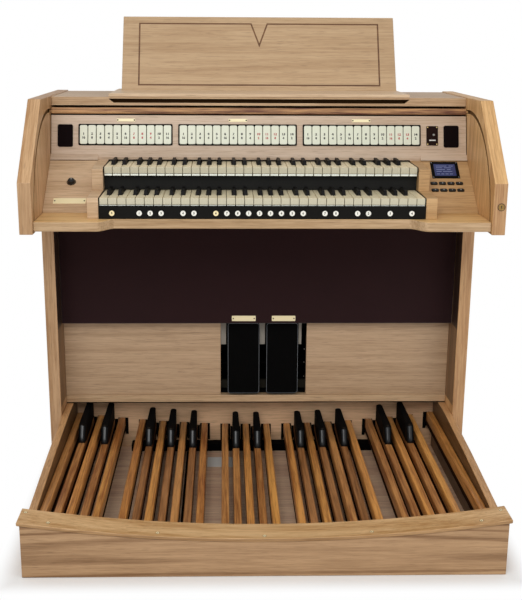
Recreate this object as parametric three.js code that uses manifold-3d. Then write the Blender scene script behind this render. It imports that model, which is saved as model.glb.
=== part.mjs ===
// Electronic church organ: oak console with two manuals, stop tabs, a roll-top, swell shoes and a
// concave 30-note pedalboard. Millimetres, X to the right, Y away from the player, Z up.
// The origin is on the floor, under the middle of the whole organ.
import * as THREE from "three";
import { mergeVertices } from "three/addons/utils/BufferGeometryUtils.js";
import Module from "manifold-3d";

const wasm = await Module();
wasm.setup();

// Clearances
const seatGap = 0.3; // between two pieces that touch
const hingeGap = 0.4; // under a piece that turns on its rest
const cutOver = 4; // how far a cutter runs past the face it cuts
const weldTolerance = 1e-4;

// Whole organ
const overallDepth = 1001;
const innerWidth = 1170; // between the side boards
const sideThick = 34;
const keyTableZ = 821; // top of the key table
const sideTopZ = 1116;
const backY = overallDepth / 2;
const frontY = -overallDepth / 2;
const innerX = innerWidth / 2;
const fitX = innerX - seatGap; // half width of what fits between the side boards

// Side boards
const legDepth = 382.5; // leg, from the back to its front edge
const armReach = 307; // arm, in front of the leg
const armBelowTable = 32; // arm underside, below the key table's top
const armFrontHeight = 132;
const armSlopeReach = 198; // level length of the slanted front above the arm
const legFrontY = backY - legDepth;
const armFrontY = legFrontY - armReach;
const armUnderZ = keyTableZ - armBelowTable;
const armTopZ = armUnderZ + armFrontHeight;
const slopeTopY = armFrontY + armSlopeReach;

// Roll-top, an arc of slats that runs in a groove in each side board
const rollRadius = 287.4; // middle of the slats
const rollAxisSetback = 8; // axis behind the legs' front edges
const rollAxisY = legFrontY + rollAxisSetback;
const rollBelowTable = 31; // axis below the key table's top
const slatThick = 8;
const slatCount = 18;
const slatAngle = 5.1; // degrees of arc for each slat
const leadAngle = 96.7; // degrees, from the front, to the lead rail when open
const leadRailHeight = 17;
const leadRailArc = 4.4; // degrees
const leadRailDrop = 0.9; // rail's middle outside the slats' middle
const grooveDepth = 8;
const grooveClear = 0.7;
const tongueClear = 3; // from a slat's end to the groove's floor
const grooveStartAngle = 5;
const grooveEndSpare = 2; // degrees of groove past the last slat
const grooveSteps = 74;
const rollAxisZ = keyTableZ - rollBelowTable;
const railSideGap = 1; // from the lead rail to each side board

// Top board and music desk
const topThick = 23;
const topBelowSide = 3; // top board below the side boards' tops
const topDepth = 327;
const slotHalfTop = 424;
const slotHalfBottom = 410;
const slotHeight = 10.6;
const slotBelowTop = 5;
const slotDepth = 18;
const deskPlateHalf = 424;
const deskPlateThick = 9.3;
const deskPlateDepth = 276;
const deskHalf = 410;
const deskLength = 245.5;
const deskThick = 18;
const deskLean = 29.3; // degrees back from upright
const deskSetback = 176; // desk foot behind the plate's front edge
const bracketThick = 16;
const bracketRun = 66;
const bracketX = 300;
const topZ = sideTopZ - topBelowSide;
const topUnderZ = topZ - topThick;
const topFrontY = backY - topDepth;
const deskPlateZ = topZ + seatGap + deskPlateThick;

// Case boards
const backThick = 12.5;
const floorZ = 187; // underside of the case floor
const floorThick = 22;
const floorDepth = 270;
const kneeThick = 18;
const kneeSetback = 276.5; // knee board's front face from the back
const shoeHoleLeft = -111;
const shoeHoleRight = 151;
const shoeHoleTop = 470;
const clothFront = 35; // cloth panel's face in front of the knee board
const clothBottomZ = 447;
const clothBatten = 40;
const clothSkin = 4;
const kneeY = backY - kneeSetback;
const clothY = kneeY - clothFront;
const floorTopZ = floorZ + floorThick;
const boxFloorZ = floorTopZ + seatGap;
const kneeBackY = kneeY + kneeThick;

// Ventilation slots and inlet in the back panel
const slotCount = 7;
const slotPitch = 24;
const slotLong = 260;
const slotWide = 8;
const slotLowZ = 800;
const inletWide = 52;
const inletHigh = 34;
const inletX = 330;
const inletClear = 0.5;
const inletBore = 26;
const inletBoreDepth = 14;

// Key table with its front rail, whose middle is set back between two ogees
const tableThick = 25;
const tableDepth = 412;
const tableFrontSetback = 7; // ends of the rail behind the arms' fronts
const recessDepth = 43;
const ogeeOuterX = 424;
const ogeeInnerX = 380;
const ogeeSteps = 10;
const tableFrontY = armFrontY + tableFrontSetback;
const recessY = tableFrontY + recessDepth;
const tableUnderZ = keyTableZ - tableThick;
const bedZ = keyTableZ + seatGap;

// Manuals
const naturalPitch = 23.5;
const naturalCount = 36;
const octaveNaturals = 7;
const keyGap = 0.8;
const keyHeight = 54; // natural's top above the key table
const keyThick = 13;
const keyHead = 50; // front part of a natural, up to the sharps' fronts
const keyHeadGap = 1.6; // from the head to a sharp's front, which swings forward
const naturalLength = 345;
const keyBar = 12; // bar that ties the keys at their hinge
const sharpWide = 11;
const sharpRise = 12;
const sharpLength = 78; // raised part
const sharpSlope = 6;
const sharpBar = 10;
const sharpBarDrop = 17; // bar's underside below the keys' underside
const sharpBarBack = 21; // sharps' bar in front of the naturals' end
const manualFrontSetback = 5.8; // lower keys behind the rail's recessed face
const manualRise = 64;
const manualSetback = 126.5;
const sharpAfter = [true, true, false, true, true, true, false];
const sharpOffsetShares = [-0.13, 0.13, 0, -0.17, 0, 0.17, 0];
const manualHalf = (naturalPitch * naturalCount) / 2;
const manualFrontY = recessY + manualFrontSetback;
const keyTopZ = keyTableZ + keyHeight;
const keyUnderZ = keyTopZ - keyThick;

// Manual chassis: piston rail, lower bed, riser, upper bed and upper slip
const chassisSideGap = 0.7;
const pistonRailThick = 4;
const pistonRailLead = 4.5; // rail's face in front of the key fronts
const pistonRailHeight = 37;
const bedThick = 8;
const upperBedThick = 13;
const upperBedLift = 2; // above the lower naturals' tops
const slipSetback = 16; // upper slip behind the upper key fronts
const slipThick = 4;
const slipHeight = 39;
const hingeLedge = 6;
const barLedge = 4;
const riserGap = 10;
const riserThick = 10;
const bedTail = 8;

// Thumb pistons
const pistonRadius = 7;
const pistonProud = 3;
const pistonStem = 10;
const pistonClear = 0.4;
const pistonSides = 12;
const pistonHeight = 15.7; // centre above the key table
const pistonPitch = 28.25;
const pistonBarThick = 4;
const pistonBarHigh = 8;
const pistonFirstX = -388;
const pistonShifts = [0, 2.5, 3.5, 4.5, 6.5, 7.5, 9.5, 10.5, 11.5, 12.5, 13.5, 14.5, 15.5, 16.5, 17.5, 19.5, 20.5,
  22.5, 23.5, 25.5, 27.5]; // places in pitches along the rail

// Key end blocks and control panels
const blockWide = 29;
const blockSideGap = 1; // from the end keys
const blockFrontBack = 2; // in front of the key fronts
const blockLowRise = 4;
const blockUpRise = 7;
const blockUpSetback = 13; // upper step's face in front of the upper keys
const panelFootSetback = 138; // control panel's foot behind the front rail's ends
const panelThick = 10;
const panelJoin = 1;
const blockInX = manualHalf + blockSideGap;
const blockOutX = blockInX + blockWide;

// Stop panel and its tabs
const stopSetback = 131.2; // foot behind the upper keys' fronts
const stopFootY = manualFrontY + manualSetback + stopSetback;
const stopFootAboveKeys = 11.3; // foot above the upper naturals' tops
const stopLean = 16.45; // degrees back from upright
const stopHeight = 120;
const stopThick = 12;
const tabPitch = 23.4;
const tabGap = 0.9;
const tabHeight = 54;
const tabProud = 3;
const tabTail = 14; // tab behind the panel's face
const tabCentre = 63.1; // up the panel
const tabClear = 2;
const tabSideClear = 0.3;
const tabBarThick = 8;
const tabBarHigh = 12;
const tabCounts = [11, 14, 14];
const tabGroupStarts = [-504.5, -225.7, 123.7];
const stopFootZ = keyTopZ + manualRise + stopFootAboveKeys;

// Control panel pieces, placed up the slope
const knobRadius = 11;
const knobHigh = 13;
const knobShaft = 4;
const knobShaftClear = 0.4;
const knobX = -518;
const knobUp = 114.5;
const knobSides = 24;
const buttonWide = 18;
const buttonHigh = 10;
const buttonProud = 3;
const buttonClear = 0.4;
const buttonFirstX = 478.7;
const buttonPitch = 23.5;
const buttonRows = [85.7, 111.7]; // up the slope
const buttonColumns = 4;
const buttonPlate = 3;
const buttonTravelRoom = 3;
const buttonPlateMargin = 3;

// Swell shoes and their box
const shoeWide = 98;
const shoeCentres = [-41, 77];
const shoeTopZ = 438;
const shoeBottomZ = 225;
const shoeThick = 16;
const shoeFootLead = 12; // shoe's foot in front of the knee board
const shoeTopBack = 4;
const shoeEdgeRadius = 8;
const shoePivotBack = 38;
const shoePivotZ = 300;
const shoeHub = 12;
const shoeRodRadius = 4;
const shoeBore = 4.6;
const shoeWeb = 30;
const roundSides = 12;
const boxWall = 8;
const boxSpare = 6; // box wall behind the hole's edge
const boxDepth = 88;
const boxTopSpare = 2;

// Loudspeaker and electronics
const speakerX = -340;
const speakerZ = 600;
const speakerHole = 105;
const speakerRim = 122;
const speakerRimThick = 5;
const speakerDepth = 84;
const speakerMagnet = 62;
const speakerMagnetFront = 46;
const speakerDome = 28;
const speakerDomeBack = 34;
const speakerSides = 24;
const chassisLeft = 190;
const chassisRight = 520;
const chassisDepth = 150;
const chassisHigh = 92;

// Pedalboard
const pedalPitch = 65; // naturals
const pedalWide = 20;
const pedalTopZ = 91; // middle natural
const pedalDeep = 35;
const pedalSag = 39; // rise of the outermost natural
const pedalNaturals = 18;
const sharpPedalDrop = 8; // wood of a sharp below the naturals
const capRise = 41; // cap above the naturals
const capStart = 195; // cap's sloping front, before the toe board
const capSlopeRun = 18;
const capWide = 23;
const pedalHeelIn = 31; // heel end behind the organ's front
const pedalHingeIn = 45.5;
const pedalToeGap = 2;
const toeRound = 7;
const tongueDrop = 8;
const tonguePast = 8;
const pedalDip = 13;
const heelRailDepth = 80;
const heelRailThick = 9;
const heelRailHalf = 600;
const heelRailGap = 2; // above the middle of a pedal
const heelBoardBack = 3;
const heelBoardThick = 20;
const heelBoardHalf = 593;
const archSteps = 16;
const archGap = 0.5; // between the heel board's curve and the rail on it
const restMargin = 3; // rest's step past a pedal's side
const cheekThick = 21;
const cheekGap = 0.6; // beside the leg
const cheekFrontZ = 143;
const cheekMidZ = 168;
const cheekRearZ = 184;
const cheekMidY = -140;
const cheekUnderRail = 0.6;
const baseThick = 10.9;
const toeBoardSetback = 213.5; // toe board's face from the back
const toeBoardThick = 20;
const toeSlotClear = 1.5;
const toeSlotOver = 3;
const toeSlotUnder = 3;
const toeTail = 4; // cheeks past the toe board
const hingeRestHalf = 6;
const sharpsAfterPedal = [true, true, false, true, true, true, false];
const noteNames = ["C", "D", "E", "F", "G", "A", "B"];
const toeY = backY - toeBoardSetback;
const cheekOutX = innerX - cheekGap;
const cheekInX = cheekOutX - cheekThick;
const heelRailBackY = frontY + heelRailDepth;
const outerPedalX = (pedalPitch * (pedalNaturals - 1)) / 2;
const hingeY = frontY + pedalHingeIn;
const heelRailUnderZ = pedalTopZ + heelRailGap;
const pedalUnderZ = pedalTopZ - pedalDeep - sharpPedalDrop;

// Colours and finishes
const oak = { color: 0xc9a57e, roughness: 0.5, metalness: 0 };
const pedalOak = { color: 0xa9713d, roughness: 0.45, metalness: 0 };
const cloth = { color: 0x231314, roughness: 0.95, metalness: 0 };
const ivory = { color: 0xe8e0cf, roughness: 0.3, metalness: 0 };
const tabCream = { color: 0xe9ebdd, roughness: 0.35, metalness: 0 };
const blackPlastic = { color: 0x1e1e1d, roughness: 0.4, metalness: 0 };
const rubberBlack = { color: 0x232222, roughness: 0.7, metalness: 0 };
const steelGrey = { color: 0x8c8f92, roughness: 0.4, metalness: 0.8 };

const radians = THREE.MathUtils.degToRad;

// Solids from three.js geometry
function toSolid(geometry) {
  const bare = geometry.clone();
  bare.deleteAttribute("normal");
  bare.deleteAttribute("uv");
  const merged = mergeVertices(bare, weldTolerance);
  const mesh = new wasm.Mesh({
    numProp: 3,
    vertProperties: merged.attributes.position.array,
    triVerts: new Uint32Array(merged.index.array),
  });
  return new wasm.Manifold(mesh);
}

function toGeometry(solid) {
  const mesh = solid.getMesh();
  const geometry = new THREE.BufferGeometry();
  geometry.setAttribute("position", new THREE.BufferAttribute(new Float32Array(mesh.vertProperties), 3));
  geometry.setIndex(new THREE.BufferAttribute(new Uint32Array(mesh.triVerts), 1));
  geometry.computeVertexNormals();
  return geometry;
}

function extruded(outline, length, xAxis, yAxis, zAxis, offset) {
  const shape = new THREE.Shape(outline.map(([a, b]) => new THREE.Vector2(a, b)));
  const geometry = new THREE.ExtrudeGeometry(shape, { depth: length, bevelEnabled: false });
  geometry.applyMatrix4(new THREE.Matrix4().makeBasis(xAxis, yAxis, zAxis).setPosition(offset));
  return toSolid(geometry);
}

const alongX = new THREE.Vector3(1, 0, 0);
const alongY = new THREE.Vector3(0, 1, 0);
const alongZ = new THREE.Vector3(0, 0, 1);

// A board whose side view, in Y and Z, runs from one X to another
function extrudeX(outline, fromX, toX) {
  return extruded(outline, toX - fromX, alongY, alongZ, alongX, new THREE.Vector3(fromX, 0, 0));
}

// A board whose front view, in X and Z, runs from one Y to another
function extrudeY(outline, fromY, toY) {
  const towardsFront = alongY.clone().negate();
  return extruded(outline, toY - fromY, alongX, alongZ, towardsFront, new THREE.Vector3(0, toY, 0));
}

// A board whose plan, in X and Y, runs from one Z to another
function extrudeZ(outline, fromZ, toZ) {
  return extruded(outline, toZ - fromZ, alongX, alongY, alongZ, new THREE.Vector3(0, 0, fromZ));
}

function box(fromX, toX, fromY, toY, fromZ, toZ) {
  const geometry = new THREE.BoxGeometry(toX - fromX, toY - fromY, toZ - fromZ);
  geometry.translate((fromX + toX) / 2, (fromY + toY) / 2, (fromZ + toZ) / 2);
  return toSolid(geometry);
}

// A rod along Y
function rodY(radius, x, fromY, toY, z, sides) {
  const geometry = new THREE.CylinderGeometry(radius, radius, toY - fromY, sides);
  geometry.translate(x, (fromY + toY) / 2, z);
  return toSolid(geometry);
}

// A rod along X
function rodX(radius, fromX, toX, y, z, sides) {
  const geometry = new THREE.CylinderGeometry(radius, radius, toX - fromX, sides);
  geometry.rotateZ(Math.PI / 2);
  geometry.translate((fromX + toX) / 2, y, z);
  return toSolid(geometry);
}

function joined(solids) {
  return solids.reduce((whole, next) => whole.add(next));
}

function cutFrom(solid, cutters) {
  return cutters.reduce((rest, cutter) => rest.subtract(cutter), solid);
}

const organ = new THREE.Group();

function addMesh(name, solid, look, parent = organ) {
  const mesh = new THREE.Mesh(toGeometry(solid), new THREE.MeshStandardMaterial(look));
  mesh.name = name;
  parent.add(mesh);
  return mesh;
}

// Roll-top arc: a point in Y and Z at an angle up from the front
function rollPoint(radius, angle) {
  const turn = radians(angle);
  return [rollAxisY - radius * Math.cos(turn), rollAxisZ + radius * Math.sin(turn)];
}

function arcBand(inner, outer, fromAngle, toAngle, steps) {
  const outline = [];
  for (let i = 0; i <= steps; i++) {
    outline.push(rollPoint(outer, fromAngle + ((toAngle - fromAngle) * i) / steps));
  }
  for (let i = steps; i >= 0; i--) {
    outline.push(rollPoint(inner, fromAngle + ((toAngle - fromAngle) * i) / steps));
  }
  return outline;
}

const rollInner = rollRadius - slatThick / 2;
const rollOuter = rollRadius + slatThick / 2;
const rollEndAngle = leadAngle + slatCount * slatAngle;

// Side boards, one piece each, with the roll-top's groove in the inner face
function makeSide(name, sign) {
  const outline = [
    [backY, 0],
    [legFrontY, 0],
    [legFrontY, armUnderZ],
    [armFrontY, armUnderZ],
    [armFrontY, armTopZ],
    [slopeTopY, sideTopZ],
    [backY, sideTopZ],
  ];
  const outerX = innerX + sideThick;
  const board = sign > 0 ? extrudeX(outline, innerX, outerX) : extrudeX(outline, -outerX, -innerX);
  const band = arcBand(
    rollInner - grooveClear,
    rollOuter + grooveClear,
    grooveStartAngle,
    rollEndAngle + grooveEndSpare,
    grooveSteps,
  );
  const deepX = innerX + grooveDepth;
  const mouthX = innerX - cutOver;
  const groove = sign > 0 ? extrudeX(band, mouthX, deepX) : extrudeX(band, -deepX, -mouthX);
  addMesh(name, board.subtract(groove), oak);
}

// Roll-top: flat slats on the arc, with the lead rail that the hand takes
function makeRollTop() {
  const tongueX = innerX + grooveDepth - tongueClear;
  const slats = extrudeX(arcBand(rollInner, rollOuter, leadAngle, rollEndAngle, slatCount), -tongueX, tongueX);
  const railX = innerX - railSideGap;
  const railInner = rollRadius + leadRailDrop - leadRailHeight / 2;
  const railBand = arcBand(railInner, railInner + leadRailHeight, leadAngle, leadAngle + leadRailArc, 1);
  addMesh("rolltop", slats.add(extrudeX(railBand, -railX, railX)), oak);
}

// Top board, with the finger slot in its front edge
function makeTopBoard() {
  const board = box(-fitX, fitX, topFrontY, backY, topUnderZ, topZ);
  const slotTop = topZ - slotBelowTop;
  const slotOutline = [
    [-slotHalfTop, slotTop],
    [-slotHalfBottom, slotTop - slotHeight],
    [slotHalfBottom, slotTop - slotHeight],
    [slotHalfTop, slotTop],
  ];
  addMesh("top_board", board.subtract(extrudeY(slotOutline, topFrontY - cutOver, topFrontY + slotDepth)), oak);
}

// Music desk: leaning board, plate on the top board and two brackets, lifted off as one
function makeMusicDesk() {
  const lean = radians(deskLean);
  const footY = topFrontY + deskSetback;
  const level = deskThick / Math.cos(lean);
  const run = deskLength * Math.sin(lean);
  const rise = deskLength * Math.cos(lean);
  const low = topZ + seatGap;
  const sunkY = footY - deskPlateThick * Math.tan(lean);
  const slab = extrudeX(
    [
      [sunkY, low],
      [sunkY + level, low],
      [footY + run + deskThick * Math.cos(lean), deskPlateZ + rise - deskThick * Math.sin(lean)],
      [footY + run, deskPlateZ + rise],
    ],
    -deskHalf,
    deskHalf,
  );
  const plate = box(-deskPlateHalf, deskPlateHalf, topFrontY, topFrontY + deskPlateDepth, low, deskPlateZ);
  const heelY = footY + level;
  const bracketOutline = [
    [footY + level / 2, low],
    [heelY + bracketRun, low],
    [heelY + bracketRun, deskPlateZ],
    [footY + level / 2 + bracketRun, deskPlateZ + (bracketRun * Math.cos(lean)) / Math.sin(lean)],
  ];
  const brackets = [-bracketX, bracketX].map((x) =>
    extrudeX(bracketOutline, x - bracketThick / 2, x + bracketThick / 2),
  );
  addMesh("music_desk", joined([slab, plate, ...brackets]), oak);
}

// Back panel with ventilation slots and the hole for the mains inlet
function makeBackPanel() {
  const backFrontY = backY - backThick;
  const panel = box(-fitX, fitX, backFrontY, backY, floorZ, topUnderZ - seatGap);
  const cutters = [];
  for (let i = 0; i < slotCount; i++) {
    const low = slotLowZ + i * slotPitch;
    cutters.push(box(-slotLong / 2, slotLong / 2, backFrontY - cutOver, backY + cutOver, low, low + slotWide));
  }
  const halfWide = inletWide / 2 + inletClear;
  const inletLow = inletBottomZ - inletClear;
  const inletTop = inletBottomZ + inletHigh + inletClear;
  cutters.push(box(inletX - halfWide, inletX + halfWide, backFrontY - cutOver, backY + cutOver, inletLow, inletTop));
  addMesh("back_panel", cutFrom(panel, cutters), oak);
}

const inletBottomZ = boxFloorZ + (chassisHigh - inletHigh) / 2;

// Electronics chassis on the case floor, its mains inlet in the back panel's hole
function makeElectronics() {
  const backFrontY = backY - backThick - seatGap;
  const body = box(chassisLeft, chassisRight, backFrontY - chassisDepth, backFrontY, boxFloorZ, boxFloorZ + chassisHigh);
  const halfWide = inletWide / 2;
  const inletTop = inletBottomZ + inletHigh;
  const inlet = box(inletX - halfWide, inletX + halfWide, backFrontY - cutOver, backY, inletBottomZ, inletTop);
  const middleZ = inletBottomZ + inletHigh / 2;
  const bore = box(
    inletX - inletBore / 2,
    inletX + inletBore / 2,
    backY - inletBoreDepth,
    backY + cutOver,
    middleZ - inletBore / 4,
    middleZ + inletBore / 4,
  );
  addMesh("electronics_chassis", body.add(inlet).subtract(bore), steelGrey);
}

// Case floor, knee board and the cloth panel in front of it
function makeCaseFront() {
  const floorFrontY = backY - backThick - floorDepth;
  addMesh("case_floor", box(-fitX, fitX, floorFrontY, backY - backThick - seatGap, floorZ, floorTopZ), oak);

  const topEdgeZ = tableUnderZ - seatGap;
  const knee = box(-fitX, fitX, kneeY, kneeBackY, boxFloorZ, topEdgeZ);
  const shoeHole = box(
    shoeHoleLeft,
    shoeHoleRight,
    kneeY - cutOver,
    kneeBackY + cutOver,
    boxFloorZ - cutOver,
    shoeHoleTop,
  );
  const soundHole = rodY(speakerHole, speakerX, kneeY - cutOver, kneeBackY + cutOver, speakerZ, speakerSides);
  addMesh("knee_board", cutFrom(knee, [shoeHole, soundHole]), oak);

  const panel = box(-fitX, fitX, clothY, kneeY - seatGap, clothBottomZ, topEdgeZ);
  const hollow = box(
    -fitX + clothBatten,
    fitX - clothBatten,
    clothY + clothSkin,
    kneeY + cutOver,
    clothBottomZ + clothBatten,
    topEdgeZ - clothBatten,
  );
  addMesh("cloth_panel", panel.subtract(hollow), cloth);
}

// Loudspeaker on the back of the knee board
function makeLoudspeaker() {
  const outline = [
    [0, speakerDomeBack],
    [speakerDome, speakerDomeBack],
    [speakerHole - speakerRimThick, 0],
    [speakerRim, 0],
    [speakerRim, speakerRimThick],
    [speakerHole, speakerRimThick],
    [speakerMagnet, speakerMagnetFront],
    [speakerMagnet, speakerDepth],
    [0, speakerDepth],
  ];
  const points = outline.map(([r, d]) => new THREE.Vector2(r, d));
  const geometry = new THREE.LatheGeometry(points, speakerSides);
  geometry.translate(speakerX, kneeBackY + seatGap, speakerZ);
  addMesh("loudspeaker", toSolid(geometry), blackPlastic);
}

// Key table, its front rail recessed in the middle between two ogees
function makeKeyTable() {
  const tableBackY = tableFrontY + tableDepth;
  const right = [];
  for (let i = 0; i <= ogeeSteps; i++) {
    const share = i / ogeeSteps;
    const blend = (1 - Math.cos(Math.PI * share)) / 2;
    right.push([ogeeInnerX + (ogeeOuterX - ogeeInnerX) * share, recessY - recessDepth * blend]);
  }
  const left = right.map(([x, y]) => [-x, y]).reverse();
  const outline = [
    [-fitX, tableBackY],
    [-fitX, tableFrontY],
    ...left,
    ...right,
    [fitX, tableFrontY],
    [fitX, tableBackY],
  ];
  addMesh("key_table", extrudeZ(outline, tableUnderZ, keyTableZ), oak);
}

// Where the sharp after a natural stands, counted in naturals from the left
function sharpCentreX(natural) {
  const step = natural % octaveNaturals;
  return -manualHalf + naturalPitch * (natural + 1 + sharpOffsetShares[step]);
}

function hasSharp(natural) {
  return natural < naturalCount - 1 && sharpAfter[natural % octaveNaturals];
}

const naturalBackY = manualFrontY + naturalLength;
const sharpFrontY = manualFrontY + keyHead;
const sharpBarBackY = naturalBackY - sharpBarBack;

// The naturals of one manual: keys with a full head, a tail cut back beside each sharp, and a bar
function makeNaturals() {
  const keys = [];
  for (let i = 0; i < naturalCount; i++) {
    const headLeft = -manualHalf + naturalPitch * i + keyGap / 2;
    const headRight = headLeft + naturalPitch - keyGap;
    const leftSharp = i > 0 && hasSharp(i - 1);
    const tailLeft = leftSharp ? sharpCentreX(i - 1) + sharpWide / 2 + keyGap : headLeft;
    const tailRight = hasSharp(i) ? sharpCentreX(i) - sharpWide / 2 - keyGap : headRight;
    const outline = [
      [headLeft, manualFrontY],
      [headRight, manualFrontY],
      [headRight, sharpFrontY - keyHeadGap],
      [tailRight, sharpFrontY - keyHeadGap],
      [tailRight, naturalBackY],
      [tailLeft, naturalBackY],
      [tailLeft, sharpFrontY - keyHeadGap],
      [headLeft, sharpFrontY - keyHeadGap],
    ].filter(([x, y], n, all) => n === 0 || x !== all[n - 1][0] || y !== all[n - 1][1]);
    keys.push(extrudeZ(outline, keyUnderZ, keyTopZ));
  }
  const bar = box(
    -manualHalf + keyGap / 2,
    manualHalf - keyGap / 2,
    naturalBackY - keyBar,
    naturalBackY,
    keyUnderZ,
    keyTopZ,
  );
  return joined([bar, ...keys]);
}

// The sharps of one manual: raised keys with a leg down to a bar below the naturals' tails
function makeSharps() {
  const barUnderZ = keyUnderZ - sharpBarDrop;
  const raisedBackY = sharpFrontY + sharpLength;
  const outline = [
    [sharpFrontY, keyUnderZ],
    [sharpFrontY, keyTopZ],
    [sharpFrontY + sharpSlope, keyTopZ + sharpRise],
    [raisedBackY, keyTopZ + sharpRise],
    [raisedBackY, keyTopZ],
    [sharpBarBackY, keyTopZ],
    [sharpBarBackY, barUnderZ],
    [sharpBarBackY - sharpBar, barUnderZ],
    [sharpBarBackY - sharpBar, keyUnderZ],
  ];
  const keys = [];
  for (let i = 0; i < naturalCount; i++) {
    if (hasSharp(i)) {
      const centre = sharpCentreX(i);
      keys.push(extrudeX(outline, centre - sharpWide / 2, centre + sharpWide / 2));
    }
  }
  const endX = manualHalf - naturalPitch;
  const bar = box(-endX, endX, sharpBarBackY - sharpBar, sharpBarBackY, barUnderZ, barUnderZ + sharpBar);
  return joined([bar, ...keys]);
}

function makeManuals() {
  const upper = new THREE.Group();
  upper.position.set(0, manualSetback, manualRise);
  organ.add(upper);
  addMesh("lower_naturals", makeNaturals(), ivory);
  addMesh("lower_sharps", makeSharps(), blackPlastic);
  addMesh("upper_naturals", makeNaturals(), ivory, upper);
  addMesh("upper_sharps", makeSharps(), blackPlastic, upper);
}

const pistonRailY = manualFrontY - pistonRailLead;
const pistonZ = keyTableZ + pistonHeight;
const pistonXs = pistonShifts.map((shift) => pistonFirstX + shift * pistonPitch);

// Chassis that carries both manuals, with the thumb piston holes in its front rail
function makeManualFrame() {
  const railTopZ = bedZ + pistonRailHeight;
  const bedTopZ = bedZ + bedThick;
  const ledgeZ = keyUnderZ - hingeGap;
  const barLedgeZ = keyUnderZ - sharpBarDrop - hingeGap;
  const hingeAt = naturalBackY - keyBar / 2;
  const barAt = sharpBarBackY - sharpBar / 2;
  const riserY = naturalBackY + riserGap;
  const upperUnderZ = keyTopZ + upperBedLift;
  const upperTopZ = upperUnderZ + upperBedThick;
  const slipY = manualFrontY + manualSetback + slipSetback;
  const slipTopZ = upperUnderZ + slipHeight;
  // The two rests of a manual, on the bed whose top is given
  const rests = (shiftY, shiftZ, floor) => [
    [barAt - barLedge / 2 + shiftY, floor],
    [barAt - barLedge / 2 + shiftY, barLedgeZ + shiftZ],
    [barAt + barLedge / 2 + shiftY, barLedgeZ + shiftZ],
    [barAt + barLedge / 2 + shiftY, floor],
    [hingeAt - hingeLedge / 2 + shiftY, floor],
    [hingeAt - hingeLedge / 2 + shiftY, ledgeZ + shiftZ],
    [hingeAt + hingeLedge / 2 + shiftY, ledgeZ + shiftZ],
    [hingeAt + hingeLedge / 2 + shiftY, floor],
  ];
  const upperEndY = naturalBackY + manualSetback + bedTail;
  const outline = [
    [pistonRailY, bedZ],
    [pistonRailY, railTopZ],
    [pistonRailY + pistonRailThick, railTopZ],
    [pistonRailY + pistonRailThick, bedTopZ],
    ...rests(0, 0, bedTopZ),
    [riserY, bedTopZ],
    [riserY, upperUnderZ],
    [slipY, upperUnderZ],
    [slipY, slipTopZ],
    [slipY + slipThick, slipTopZ],
    [slipY + slipThick, upperTopZ],
    ...rests(manualSetback, manualRise, upperTopZ),
    [upperEndY, upperTopZ],
    [upperEndY, upperUnderZ],
    [riserY + riserThick, upperUnderZ],
    [riserY + riserThick, bedZ],
  ];
  const halfX = manualHalf + blockSideGap - chassisSideGap;
  const holes = pistonXs.map((x) =>
    rodY(
      pistonRadius + pistonClear,
      x,
      pistonRailY - cutOver,
      pistonRailY + pistonRailThick + cutOver,
      pistonZ,
      pistonSides,
    ),
  );
  addMesh("manual_frame", cutFrom(extrudeX(outline, -halfX, halfX), holes), blackPlastic);
}

// Thumb pistons on one bar behind the rail
function makePistons() {
  const stemBackY = pistonRailY + pistonStem;
  const buttons = pistonXs.map((x) =>
    rodY(pistonRadius, x, pistonRailY - pistonProud, stemBackY, pistonZ, pistonSides),
  );
  const lastX = pistonXs[pistonXs.length - 1];
  const bar = box(
    pistonFirstX - pistonRadius,
    lastX + pistonRadius,
    stemBackY - pistonBarThick,
    stemBackY,
    pistonZ - pistonBarHigh / 2,
    pistonZ + pistonBarHigh / 2,
  );
  addMesh("thumb_pistons", joined([bar, ...buttons]), tabCream);
}

// Control panel plane: foot on the key table, top against the stop panel
const controlFootY = tableFrontY + panelFootSetback;
const controlTopY = stopFootY - seatGap;
const controlLean = Math.atan2(controlTopY - controlFootY, stopFootZ - bedZ);
const controlPlane = new THREE.Group();
controlPlane.position.set(0, controlFootY, bedZ);
controlPlane.rotation.x = -controlLean;
organ.add(controlPlane);
controlPlane.updateMatrixWorld(true);

// A solid given in the control panel's own plane, brought into the organ's frame
function fromControlPlane(solid) {
  return toSolid(toGeometry(solid).applyMatrix4(controlPlane.matrixWorld));
}

const buttonPlaces = buttonRows.flatMap((up) =>
  Array.from({ length: buttonColumns }, (_, column) => [buttonFirstX + column * buttonPitch, up]),
);

function buttonBox(x, up, margin, fromY, toY) {
  const halfWide = buttonWide / 2 + margin;
  const halfHigh = buttonHigh / 2 + margin;
  return box(x - halfWide, x + halfWide, fromY, toY, up - halfHigh, up + halfHigh);
}

// Key end block, stepped like the manuals, in one piece with the slanted control panel beside it
function makeKeyBlock(name, sign, cutters) {
  const blockFrontY = manualFrontY - blockFrontBack;
  const stepY = manualFrontY + manualSetback - blockUpSetback;
  const upperZ = keyTopZ + manualRise;
  const outline = [
    [blockFrontY, bedZ],
    [blockFrontY, keyTopZ],
    [stepY, keyTopZ + blockLowRise],
    [stepY, upperZ - blockLowRise],
    [controlTopY, upperZ + blockUpRise - blockLowRise],
    [controlTopY, bedZ],
  ];
  const panelDown = panelThick / Math.sin(controlLean);
  const panelBack = panelThick / Math.cos(controlLean);
  const panelOutline = [
    [controlFootY, bedZ],
    [controlTopY, stopFootZ],
    [controlTopY, stopFootZ - panelDown],
    [controlFootY + panelBack, bedZ],
  ];
  const spans = [
    [outline, blockInX, blockOutX],
    [panelOutline, blockOutX - panelJoin, fitX],
  ];
  const solids = spans.map(([shape, near, far]) =>
    sign > 0 ? extrudeX(shape, near, far) : extrudeX(shape, -far, -near),
  );
  addMesh(name, cutFrom(joined(solids), cutters), oak);
}

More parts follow.
